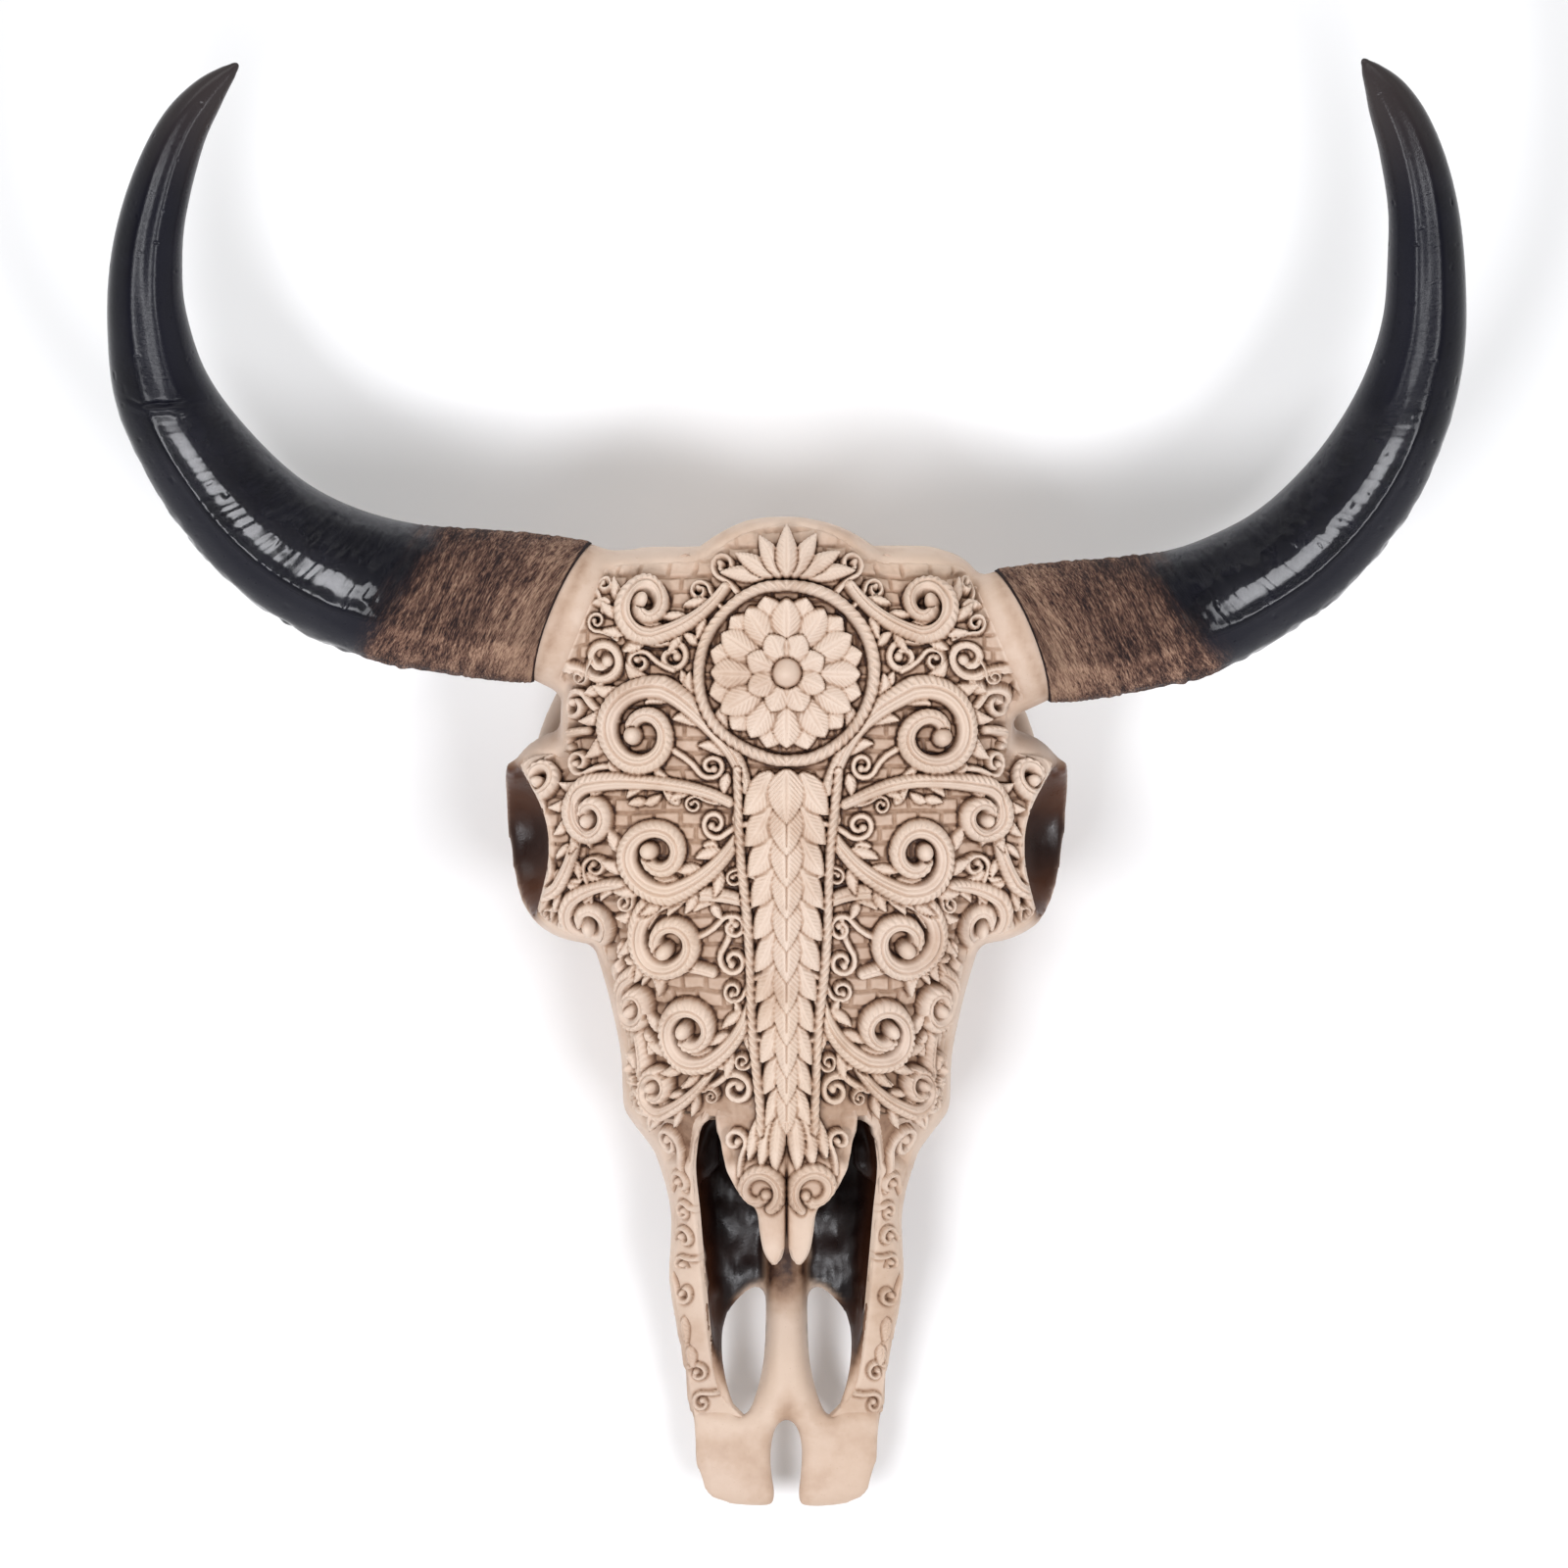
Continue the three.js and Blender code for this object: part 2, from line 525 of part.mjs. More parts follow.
function skull() {
  const outside = wasm.Manifold.union([
    loft(STATIONS.map(skullSection)),
    ...pairOfBalls(BROW, 18),
    ball(POLL.at, POLL.size, 16),
    collar('left'),
    collar('right'),
  ]);
  const cordHole = new THREE.CylinderGeometry(CORD_HOLE.radius, CORD_HOLE.radius, CORD_HOLE.depth, 12);
  const hollows = wasm.Manifold.union([
    ...pairOfBalls(EYE_SOCKET, 18),
    ...pairOfBalls(TEMPLE, 14),
    ball(THROAT.at, THROAT.size, 12),
    solid(cordHole.translate(0, CORD_HOLE.y, CORD_HOLE.z)),
    nasalSpace(),
  ]);
  const full = wasm.Manifold.union([
    outside.subtract(hollows),
    ...pair(nasalBone),
    palateBar(),
    ...pair(toothRow),
    ...pairOfBars(CHEEK_ARCH, 6),
    ...pairOfBars(SOCKET_RIM, 5),
    ...pairOfBars(NECK_PROCESS, 8),
    ...pairOfBalls(CONDYLE, 12),
    ...SCROLLS.flatMap((scroll) => pair((side) => scrollStem(scroll, side))),
    ...rosette(),
    ...garland(),
  ]);
  const slots = wasm.Manifold.union([
    prism(PALATE_SLOT, SLOT_CUT.low, SLOT_CUT.high),
    prism(mirrored(PALATE_SLOT), SLOT_CUT.low, SLOT_CUT.high),
    prism([...NOSE_NOTCH, ...mirrored(NOSE_NOTCH)], SLOT_CUT.low, SLOT_CUT.high),
  ]);
  const standing = full.subtract(slots).trimByPlane([0, 0, 1], 0);
  return outerBody(standing).simplify(FACET_TOLERANCE);
}

const group = new THREE.Group();
group.add(piece('skull', skull(), bone));
group.add(piece('horn_left', hornBody('left'), horn));
group.add(piece('horn_right', hornBody('right'), horn));

export default group;
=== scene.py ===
import math
import random

import bmesh
import bpy
import numpy as np
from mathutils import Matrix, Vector


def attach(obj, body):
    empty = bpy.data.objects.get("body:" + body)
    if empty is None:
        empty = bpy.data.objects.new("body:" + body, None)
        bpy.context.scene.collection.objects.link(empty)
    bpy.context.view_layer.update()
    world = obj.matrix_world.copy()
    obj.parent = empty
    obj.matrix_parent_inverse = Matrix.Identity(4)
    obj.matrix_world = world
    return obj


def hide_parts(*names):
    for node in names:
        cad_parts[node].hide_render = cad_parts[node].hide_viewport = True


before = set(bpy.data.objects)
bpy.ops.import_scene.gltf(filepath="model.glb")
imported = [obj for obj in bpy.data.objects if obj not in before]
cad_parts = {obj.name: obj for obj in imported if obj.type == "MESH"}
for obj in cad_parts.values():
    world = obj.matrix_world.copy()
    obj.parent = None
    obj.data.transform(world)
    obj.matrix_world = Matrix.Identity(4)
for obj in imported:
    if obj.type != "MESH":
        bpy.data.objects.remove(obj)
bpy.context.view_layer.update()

# The face before it is carved: forehead, nose, brows, the swelling behind the crown and the
# horns' collars, as curves along the skull in millimetres. The base bone and the carved
# skin that lies on it are both made from these curves, so that they fit each other.
HALF_WIDTH = [
    (82, 50), (79, 60), (73, 66), (50, 72), (24, 78.5), (0, 77.5), (-20, 74), (-50, 68.5), (-78, 61),
    (-97, 57.6), (-113, 57), (-119, 53), (-130, 45.5), (-153, 40.3), (-170, 41), (-204, 36), (-235, 33.4),
    (-242, 32.6), (-246.5, 30.4), (-249.5, 26), (-251, 17),
]
TOP = [
    (82, 99), (79, 106), (73, 112.5), (60, 117.5), (40, 120), (0, 119.5), (-40, 116), (-80, 106),
    (-114, 93), (-138, 77), (-175, 57), (-215, 38), (-235, 34.5), (-251, 33.5),
]
WAIST = [
    (82, 84), (60, 90), (20, 92), (0, 90), (-20, 86), (-60, 70), (-100, 52), (-124, 44), (-195, 35),
    (-251, 29.5),
]
TOP_FULLNESS = [(82, 3), (20, 3.6), (-30, 3.3), (-70, 2.5), (-100, 2.2), (-124, 2.5), (-180, 3), (-251, 3)]
BROW_AT, BROW_SIZE, BROW_FULLNESS, BROW_LEAN = (62, -18, 74), (34, 38, 34), 3.1, 0.07
POLL_AT, POLL_SIZE = (0, 66, 103), (38, 26.5, 18)
ROOF_END_Y = -117
NASAL_TOP = [(-92, 101.5), (-118, 94.5), (-150, 88), (-167.5, 85)]
NASAL_ARCH = 0.011
CREST_Y, BLEND = 82, 2.5
EYE_SOCKET_AT, EYE_SOCKET_SIZE = (98, -21, 86), (26, 26, 23)
HORN_START = {-1: (-77.5, 59.2, 95, 26.4), 1: (81.4, 51, 95, 24.9)}
SEAM_FACING = {-1: (-0.923, 0.385), 1: (0.925, 0.381)}


def along(profile, y):
    """The value at y on a smooth curve through (y, value) pairs, with no overshoot."""
    y = np.asarray(y, float)
    ys = np.array([p[0] for p in profile], float)[::-1]
    values = np.array([p[1] for p in profile], float)[::-1]
    slope = np.diff(values) / np.diff(ys)
    tangent = np.empty(len(ys))
    tangent[0], tangent[-1] = slope[0], slope[-1]
    before, after = slope[:-1], slope[1:]
    steady = before * after > 0
    total = np.where(steady, before + after, 1)
    tangent[1:-1] = np.where(steady, 2 * before * after / total, 0)
    at = np.clip(y, ys[0], ys[-1])
    i = np.clip(np.searchsorted(ys, at, side="right") - 1, 0, len(ys) - 2)
    span = ys[i + 1] - ys[i]
    t = (at - ys[i]) / span
    return (
        values[i] * (1 + 2 * t) * (1 - t) ** 2 + span * tangent[i] * t * (1 - t) ** 2
        + values[i + 1] * t * t * (3 - 2 * t) + span * tangent[i + 1] * t * t * (t - 1)
    )


def step_up(low, high, value):
    """0 below low, 1 above high, smooth between."""
    t = np.clip((value - low) / (high - low), 0, 1)
    return t * t * (3 - 2 * t)


def between(rise_from, rise_to, fall_from, fall_to, value):
    """1 along a stretch, with a smooth rise before it and a smooth fall after it."""
    return step_up(rise_from, rise_to, value) * (1 - step_up(fall_from, fall_to, value))


def soft_max(a, b):
    share = np.clip(0.5 + 0.5 * (a - b) / BLEND, 0, 1)
    return b + (a - b) * share + BLEND * share * (1 - share)


def body_height(x, y):
    fullness = along(TOP_FULLNESS, y)
    waist = along(WAIST, y)
    reach = np.minimum(np.abs(x) / along(HALF_WIDTH, y), 1)
    z = waist + (along(TOP, y) - waist) * np.maximum(1 - reach ** fullness, 0) ** (1 / fullness)
    return np.where((np.abs(x) < along(HALF_WIDTH, y)) & (y <= CREST_Y), z, 0)


def ball_height(x, y, at, size, fullness=2.0, lean=0.0):
    back = y - at[1]
    out = np.abs((np.abs(x) - at[0] - lean * back) / size[0]) ** fullness
    left = 1 - out - np.abs(back / size[1]) ** fullness
    return np.where(left > 0, at[2] + size[2] * np.maximum(left, 0) ** (1 / fullness), 0)


def collar_rings(side):
    """Rings of a horn's collar, counted outwards: x, y, facing x, facing y, wide, high, z."""
    seam_x, seam_y, seam_z, radius = HORN_START[side]
    face_x, face_y = abs(SEAM_FACING[side][0]), SEAM_FACING[side][1]
    seam = (abs(seam_x) - 0.3 * face_x, seam_y - 0.3 * face_y)
    near = (seam[0] - 9 * face_x, seam[1] - 9 * face_y)
    return [
        (36, 54, 1, 0, 24, 20, 93),
        (56, seam_y / 2 + 25, 1, 0, 26.6, 26, 94),
        (near[0], near[1], face_x, face_y, radius - 0.2, radius - 1.5, seam_z),
        (seam[0], seam[1], face_x, face_y, radius - 0.6, radius - 0.8, seam_z),
        (seam[0] + 6 * face_x, seam[1] + 6 * face_y, face_x, face_y, radius - 1.5, radius - 1.7, seam_z),
    ]


def collar_height(x, y, side):
    """Top of the collar at x (outwards on that side), y: x, y is found between two rings."""
    z = np.zeros(np.broadcast(x, y).shape)
    rings = collar_rings(side)
    for near, far in zip(rings[:-1], rings[1:]):
        low, high = np.zeros_like(z), np.ones_like(z)

        def beyond(t):
            ring = [near[i] + (far[i] - near[i]) * t for i in range(4)]
            return (x - ring[0]) * ring[2] + (y - ring[1]) * ring[3]

        between = (beyond(0) >= -1e-9) & (beyond(1) <= 1e-9)
        for _ in range(22):
            middle = (low + high) / 2
            ahead = beyond(middle) > 0
            low = np.where(ahead, middle, low)
            high = np.where(ahead, high, middle)
        t = (low + high) / 2
        ring = [near[i] + (far[i] - near[i]) * t for i in range(7)]
        across = ((y - ring[1]) * ring[2] - (x - ring[0]) * ring[3]) / np.hypot(ring[2], ring[3]) / ring[4]
        rise = ring[6] + ring[5] * np.sqrt(np.maximum(1 - across ** 2, 0))
        z = np.where(between & (np.abs(across) < 1), np.maximum(z, rise), z)
    return z


def face_height(x, y, side):
    """Height of the face before carving, at x (outwards on that side) and y."""
    z = soft_max(body_height(x, y), ball_height(x, y, BROW_AT, BROW_SIZE, BROW_FULLNESS, BROW_LEAN))
    z = soft_max(z, ball_height(x, y, POLL_AT, POLL_SIZE))
    z = soft_max(z, collar_height(x, y, side))
    bones = along(NASAL_TOP, y) - NASAL_ARCH * x * x - 8 * step_up(-114, -90, y) - 12 * step_up(20, 31, x)
    on_bones = (y < -90) & (y > -169) & (x < np.where(y < ROOF_END_Y, 27, 31))
    return soft_max(z, np.where(on_bones, bones, 0))


# Outer end of the carving: where the face turns down too steeply, short of the eye
# socket, and short of the plain neck of bone before each horn.
PLAIN_NECK = 7.0
STEEPEST = 3.8
EDGE_ROWS = np.arange(-226, 92.6, 0.5)
FINE_STEP = 0.25
FINE_X = np.arange(0, 106, FINE_STEP)


def first_steep(steep, past_x, otherwise):
    """In each row, the x past past_x where the face first falls too steeply."""
    found = steep & (FINE_X[1:] > past_x)
    return np.where(found.any(1), FINE_X[np.argmax(found, axis=1)], otherwise)


def carved_edge(side):
    """x of the carving's outer end in each of EDGE_ROWS, on one side."""
    x, y = np.meshgrid(FINE_X, EDGE_ROWS)
    z = face_height(x, y, side)
    steep = -np.diff(z, axis=1) / FINE_STEP > STEEPEST
    end = first_steep(steep, 6, FINE_X[-1])
    on_body = (EDGE_ROWS > ROOF_END_Y - 1) & (EDGE_ROWS < 80.5)
    end = np.where(on_body, np.maximum(end, first_steep(steep, 45, 90)), end)
    end = np.where(EDGE_ROWS < ROOF_END_Y, first_steep(steep, 32.5, 33), end)
    dx, dy = (x - EYE_SOCKET_AT[0]) / EYE_SOCKET_SIZE[0], (y - EYE_SOCKET_AT[1]) / EYE_SOCKET_SIZE[1]
    inside = 1 - dx ** 2 - dy ** 2
    hollow = (inside > 0) & (EYE_SOCKET_AT[2] + EYE_SOCKET_SIZE[2] * np.sqrt(np.maximum(inside, 0)) > z)
    rim = np.where(hollow.any(1), FINE_X[np.argmax(hollow, axis=1)], 200)
    end = np.minimum(end, rim - 0.6)
    seam_x, seam_y, _, radius = HORN_START[side]
    face_x, face_y = abs(SEAM_FACING[side][0]), SEAM_FACING[side][1]
    seam = abs(seam_x) + (seam_y - EDGE_ROWS) * face_y / face_x - PLAIN_NECK
    end = np.where(EDGE_ROWS > 12, np.minimum(end, seam), end)
    on_poll = np.sqrt(np.maximum(1 - ((EDGE_ROWS - POLL_AT[1]) / POLL_SIZE[1]) ** 2, 0)) * POLL_SIZE[0]
    end = np.where(EDGE_ROWS > 79, np.minimum(end, on_poll * 0.86), end)
    padded = np.pad(end, 3, mode="edge")
    end = np.array([padded[i:i + 7].min() for i in range(len(end))])
    kernel = np.hanning(9) / np.hanning(9).sum()
    return np.convolve(np.pad(end, 4, mode="edge"), kernel, mode="valid")


edge_of_carving = {side: carved_edge(side) for side in (-1, 1)}


def from_outline(x, y, side, stretch):
    """Rough distance from a place on the face to the outline of the carving; 0 outside it."""
    nearest = np.full(np.broadcast(x, y).shape, 99.0)
    for shift in np.arange(-6, 6.1, 0.5):
        end = np.interp(y + shift, EDGE_ROWS, edge_of_carving[side])
        nearest = np.minimum(nearest, np.hypot(shift, np.maximum(end - x, 0) * stretch))
    return nearest


# The carving: a map of how far each place on one half of the face stands above or below
# the plain skin, in millimetres, by its way from the midline over the face and its y.
# Each motif is cut into the map like a moulding pressed into clay, the lowest first.
CELL = 0.25
WAYS = np.arange(-5, 110, CELL)
ROWS = np.arange(-228, 98, CELL)
GROUND = -3.1
BLOCK_LONG, BLOCK_HIGH = 9.0, 5.2
PLAIN_FROM_Y = -134
way_map, row_map = np.meshgrid(WAYS, ROWS)


def ripple(turns):
    return 0.5 + 0.5 * np.cos(2 * math.pi * turns)


def map_noise(seed, size):
    """Smooth random values from -1 to 1 over the map, a bump every `size` millimetres."""
    rng = np.random.default_rng(seed)
    span = size / CELL
    shape = way_map.shape
    coarse = rng.uniform(-1, 1, (int(shape[0] / span) + 3, int(shape[1] / span) + 3))
    r, c = np.arange(shape[0]) / span, np.arange(shape[1]) / span
    r0, c0 = r.astype(int), c.astype(int)
    fr, fc = r - r0, c - c0
    fr, fc = (fr * fr * (3 - 2 * fr))[:, None], (fc * fc * (3 - 2 * fc))[None, :]
    low = coarse[r0][:, c0] * (1 - fc) + coarse[r0][:, c0 + 1] * fc
    high = coarse[r0 + 1][:, c0] * (1 - fc) + coarse[r0 + 1][:, c0 + 1] * fc
    return low * (1 - fr) + high * fr


def blurred(field, sigma):
    reach = int(3 * sigma / CELL) + 1
    kernel = np.exp(-0.5 * (np.arange(-reach, reach + 1) * CELL / sigma) ** 2)
    kernel /= kernel.sum()
    padded = np.pad(field, reach, mode="edge")
    middle = sum(k * padded[:, i:i + field.shape[1]] for i, k in enumerate(kernel))
    return sum(k * middle[i:i + field.shape[0], :] for i, k in enumerate(kernel))


wander = map_noise(3, 6)
block_row = (row_map + 0.5 * wander) / BLOCK_HIGH
block_column = (way_map + 0.8 * wander) / BLOCK_LONG + np.floor(block_row) * 0.37
row_gap = 0.5 - np.abs(block_row - np.floor(block_row) - 0.5)
column_gap = (0.5 - np.abs(block_column - np.floor(block_column) - 0.5)) * BLOCK_LONG / BLOCK_HIGH
in_blocks = step_up(0.06, 0.2, np.minimum(row_gap, column_gap)) * step_up(-100, -88, row_map)
blocks = GROUND + 0.9 * in_blocks + 0.15 * map_noise(5, 1.25)
worked = step_up(PLAIN_FROM_Y - 1, PLAIN_FROM_Y + 5, row_map)
relief = blocks * worked
floor_map = -0.9 + (GROUND + 0.9) * worked


def near_line(line, reach):
    """The window of the map within reach of a line, and each cell's place along and beside it."""
    line = np.asarray(line, float)
    low, high = line.min(0) - reach, line.max(0) + reach
    columns = slice(max(np.searchsorted(WAYS, low[0]), 0), np.searchsorted(WAYS, high[0]) + 1)
    rows = slice(max(np.searchsorted(ROWS, low[1]), 0), np.searchsorted(ROWS, high[1]) + 1)
    x, y = way_map[rows, columns], row_map[rows, columns]
    start, step = line[:-1], np.diff(line, axis=0)
    length = np.maximum(np.hypot(step[:, 0], step[:, 1]), 1e-9)
    travelled = np.r_[0, np.cumsum(length)]
    best = np.full(x.shape, 1e9)
    place, beside = np.zeros(x.shape), np.ones(x.shape)
    for k in range(len(start)):
        px, py = x - start[k, 0], y - start[k, 1]
        t = np.clip((px * step[k, 0] + py * step[k, 1]) / length[k] ** 2, 0, 1)
        dx, dy = px - t * step[k, 0], py - t * step[k, 1]
        away = dx * dx + dy * dy
        closer = away < best
        best = np.where(closer, away, best)
        place = np.where(closer, travelled[k] + t * length[k], place)
        beside = np.where(closer, np.sign(step[k, 0] * dy - step[k, 1] * dx), beside)
    return (rows, columns), place, np.sqrt(best) * beside, travelled[-1]


def dome(share, low, top, fullness=2.0):
    """A rounded top: top in the middle, where share is 0, and low where it is 1."""
    return low + (top - low) * np.sqrt(np.maximum(1 - share ** fullness, 0))


def press(window, inside, height, away, moat=1.2, cut=0.9):
    """Put a form on the map, with a soft groove round its foot."""
    old, floor = relief[window], floor_map[window]
    groove = cut * np.clip(1 - away / moat, 0, 1) ** 1.5
    relief[window] = np.where(inside, height, np.maximum(old - groove, np.minimum(old, floor - 0.2)))


def press_stem(line, half, top=3.0, outer=1, ribs=0.8, rise=0.0):
    """A moulded stem: rounded, with long grooves, its outer edge cut across with short ribs."""
    half = np.asarray(half, float)
    window, place, beside, total = near_line(line, half.max() + 1.6)
    wide = np.maximum(np.interp(place / total, np.linspace(0, 1, half.size), half), 0.3)
    share = np.abs(beside) / wide
    out = beside * outer
    low = -1.9 if top > 2 else -1.4
    height = dome(share, low, top, 2.2)
    height -= 1.3 * np.exp(-((out + 0.02 * wide) / (0.11 * wide + 0.12)) ** 2) * np.clip(wide / 2.2, 0, 1)
    height -= 0.7 * np.exp(-((out + 0.5 * wide) / (0.10 * wide + 0.1)) ** 2) * np.clip(wide / 3, 0, 1)
    cuts = ripple((place + 0.45 * out) / 2.0) ** 1.3 * step_up(0.14, 0.3, out / wide)
    height -= ribs * cuts * np.clip(wide / 2, 0, 1)
    height += rise * step_up(0.35, 1, place / total)
    press(window, share < 1, height, np.abs(beside) - wide)


def press_knob(x, y, radius, top=3.4):
    window = near_line([(x - 0.01, y), (x + 0.01, y)], radius + 1.6)[0]
    share = np.hypot(way_map[window] - x, row_map[window] - y) / radius
    press(window, share < 1, dome(share, min(-1.0, top - 3), top), (share - 1) * radius, moat=1.0)


def press_rope(window, beside, half, strands, top):
    """A twisted rope, cut across by its strands."""
    share = np.abs(beside) / half
    press(window, share < 1, dome(share, -1.4, top) - 1.2 * strands, (share - 1) * half)


def press_leaf(base, point, wide, bow=0.15, top=2.2, fullest=0.42, veins=0.5, tip=0.0, edge=-1.4):
    """A pointed leaf, bowed to one side, with a midrib and slanting veins."""
    base, point = np.array(base, float), np.array(point, float)
    across = np.array([base[1] - point[1], point[0] - base[0]])
    middle = (base + point) / 2 + across * bow
    t = np.linspace(0, 1, 10)[:, None]
    line = (1 - t) ** 2 * base + 2 * t * (1 - t) * middle + t * t * point
    window, place, beside, total = near_line(line, wide + 1.6)
    t = np.clip(place / total, 0, 1)
    width = np.maximum(wide * np.sin(math.pi * t ** (math.log(0.5) / math.log(fullest))) ** 0.75, 0.05)
    share = np.abs(beside) / width
    height = dome(share, edge, top, 2.6) + tip * t
    height -= 0.65 * np.exp(-(beside / 0.42) ** 2) * step_up(0, 0.15, t) * (1 - t * 0.5)
    height -= 0.5 * np.exp(-((share - 0.62) / 0.25) ** 2) * (1 - t)
    height -= veins * ripple((place - 1.1 * np.abs(beside)) / 1.8) * step_up(0.1, 0.4, share)
    inside = (share < 1) & (place > 0) & (place < total)
    press(window, inside, height, (share - 1) * width + 0.001, moat=1.0, cut=0.8)


COIL_TURNS = 1.35


def scroll_line(root, eye, radius, turn, bow):
    """The line of a stem that leads into a coil, and how many of its points are the stem's."""
    reach = np.subtract(eye, root)
    away = math.hypot(*reach)
    heading = math.atan2(reach[1], reach[0])
    heading += turn * (math.radians(bow) - math.asin(min(radius / away, 1)))
    begin = heading - turn * math.pi / 2
    touch = np.array([eye[0] + radius * math.cos(begin), eye[1] + radius * math.sin(begin)])
    start = np.array(root, float)
    bend = touch - np.hypot(*(touch - start)) / 2 * np.array([math.cos(heading), math.sin(heading)])
    t = np.linspace(0, 1, 14)[:, None]
    way_in = (1 - t) ** 2 * start + 2 * t * (1 - t) * bend + t * t * touch
    t = np.linspace(0, 1, 46)[1:]
    size = radius * (1 - 0.78 * t ** 0.8)
    angle = begin + turn * COIL_TURNS * 2 * math.pi * t
    coil = np.c_[eye[0] + size * np.cos(angle), eye[1] + size * np.sin(angle)]
    return np.vstack([way_in, coil]), len(way_in)


# Small leaves along a scroll: the point of its line, and the side.
LEAFLETS = [(3, 1), (5, -1), (7, 1), (9, -1), (11, 1), (14, -1), (17, -1), (20, -1), (23, -1)]


def press_scroll(root, eye, radius, turn, bow, half):
    line, stem_points = scroll_line(root, eye, radius, turn, bow)
    for at, side in LEAFLETS:
        ahead = (line[at + 1] - line[at - 1]) / np.hypot(*(line[at + 1] - line[at - 1]))
        out = np.array([-ahead[1], ahead[0]]) * turn * (side if at < stem_points else -1)
        size = radius * 0.42 + 3.2
        point = line[at] + (out * 0.85 + ahead * 0.9) * size
        press_leaf(line[at], point, size * 0.26, bow=0.22 * side, top=1.2)
    halves = np.r_[
        np.linspace(half * 0.55, half, stem_points), np.linspace(half, half * 0.5, len(line) - stem_points)
    ]
    length = np.r_[0, np.cumsum(np.hypot(*np.diff(line, axis=0).T))]
    halves = np.interp(np.linspace(0, 1, 60), length / length[-1], halves)
    rise = radius * 0.11
    press_stem(line, halves, top=2.2 + half * 0.25, outer=-turn, rise=rise)
    press_knob(line[-1][0], line[-1][1], half * 0.78, top=2.8 + half * 0.25 + rise)


def press_curl(x, y, radius, turn, angle, top=1.5, turns=1.3, stout=0.24):
    """A small curl with a short tail."""
    t = np.linspace(0, 1, 30)
    size = radius * (0.86 - 0.62 * t ** 0.85)
    a = angle + turn * turns * 2 * math.pi * t
    coil = np.c_[x + size * np.cos(a), y + size * np.sin(a)]
    ahead = (coil[0] - coil[1]) / np.hypot(*(coil[0] - coil[1]))
    out = np.array([math.cos(angle), math.sin(angle)])
    tail = [coil[0] + ahead * radius * f + out * radius * 0.25 * f * f for f in (1.5, 1.0, 0.5)]
    half = radius * stout
    halves = np.linspace(half * 0.8, half * 0.62, 40)
    press_stem(np.vstack([tail, coil]), halves, top=top, outer=-turn, ribs=0.45)
    press_knob(coil[-1][0], coil[-1][1], half * 0.95, top=top + 0.4)


# Scrolls on one half: root, eye of the coil, its radius, its turn, bow of the stem in
# degrees and half width. The first seven also stand on the plain solid.
SCROLLS = [
    ((14, -2), (50, 17), 17, -1, 30, 4.2),
    ((20, -7), (69, -11), 10.5, -1, 20, 3.4),
    ((16, -18), (45, -25), 14, 1, 25, 4.0),
    ((13, -42), (41, -55), 14.5, -1, 35, 4.0),
    ((11, -72), (34, -86), 13, 1, 35, 3.6),
    ((26, -66), (57, -77), 10, -1, 25, 3.2),
    ((22, 68), (49, 62), 11, 1, 25, 3.4),
    ((76, -2), (88, -31), 8.5, 1, 25, 2.8),
    ((70, 18), (89, 2), 8.5, -1, 30, 2.8),
    ((54, -36), (71, -48), 9.0, -1, 25, 2.9),
    ((26, -100), (49, -106), 9.0, 1, 25, 2.9),
    ((63, -62), (62, -98), 6.5, 1, 10, 2.4),
]
ROSETTE_Y, ROSETTE_RING, RING_STRANDS = 38, 30.4, 64
GARLAND_FROM, GARLAND_TO, GARLAND_ROWS = 3, -116, 11


def way_of(x, y, side=1):
    """The way over the face from the midline out to x, in the row at y."""
    z = face_height(FINE_X, np.full_like(FINE_X, y), side)
    return float(np.interp(x, FINE_X, np.r_[0, np.cumsum(np.hypot(FINE_STEP, np.diff(z)))]))


# Free places between the scrolls are found and filled with curls and small leaves.
end_of_rows = np.array([way_of(x, y) for x, y in zip(edge_of_carving[1][::4], EDGE_ROWS[::4])])
end_map = np.interp(ROWS, EDGE_ROWS[::4], end_of_rows)[:, None]
coarse = (slice(None, None, 5), slice(None, None, 5))
gap_x, gap_y, gap_end = way_map[coarse], row_map[coarse], np.broadcast_to(end_map, way_map.shape)[coarse]
free = (gap_x > 15.5 - 0.03 * (6 - gap_y)) & (gap_x < gap_end - 3) & (gap_y > PLAIN_FROM_Y + 3)
free &= (gap_y > -112) | (gap_x > 43)
free &= (np.hypot(gap_x, gap_y - ROSETTE_Y) > 34) & ((gap_y < 72) | (gap_x < 28))
for root, eye, radius, turn, bow, half in SCROLLS:
    free &= np.hypot(gap_x - eye[0], gap_y - eye[1]) > radius + half * 0.9
    line, stem_points = scroll_line(root, eye, radius, turn, bow)
    for point in line[:stem_points:2]:
        free &= np.hypot(gap_x - point[0], gap_y - point[1]) > half
taken = np.c_[gap_x[~free], gap_y[~free]]
spots = np.c_[gap_x[free], gap_y[free]]
room = np.concatenate([
    np.hypot(part[:, None, 0] - taken[None, :, 0], part[:, None, 1] - taken[None, :, 1]).min(1)
    for part in np.array_split(spots, 60)
])
SMALLEST_ROOM, SMALLEST_CURL = 1.9, 2.8
dice = random.Random(11)
curls = []
while room.max() > SMALLEST_ROOM:
    spot = int(np.argmax(room))
    radius = min(room[spot], 8.0) * 0.98
    curls.append((*spots[spot], radius))
    room = np.minimum(room, np.hypot(*(spots - spots[spot]).T) - radius)
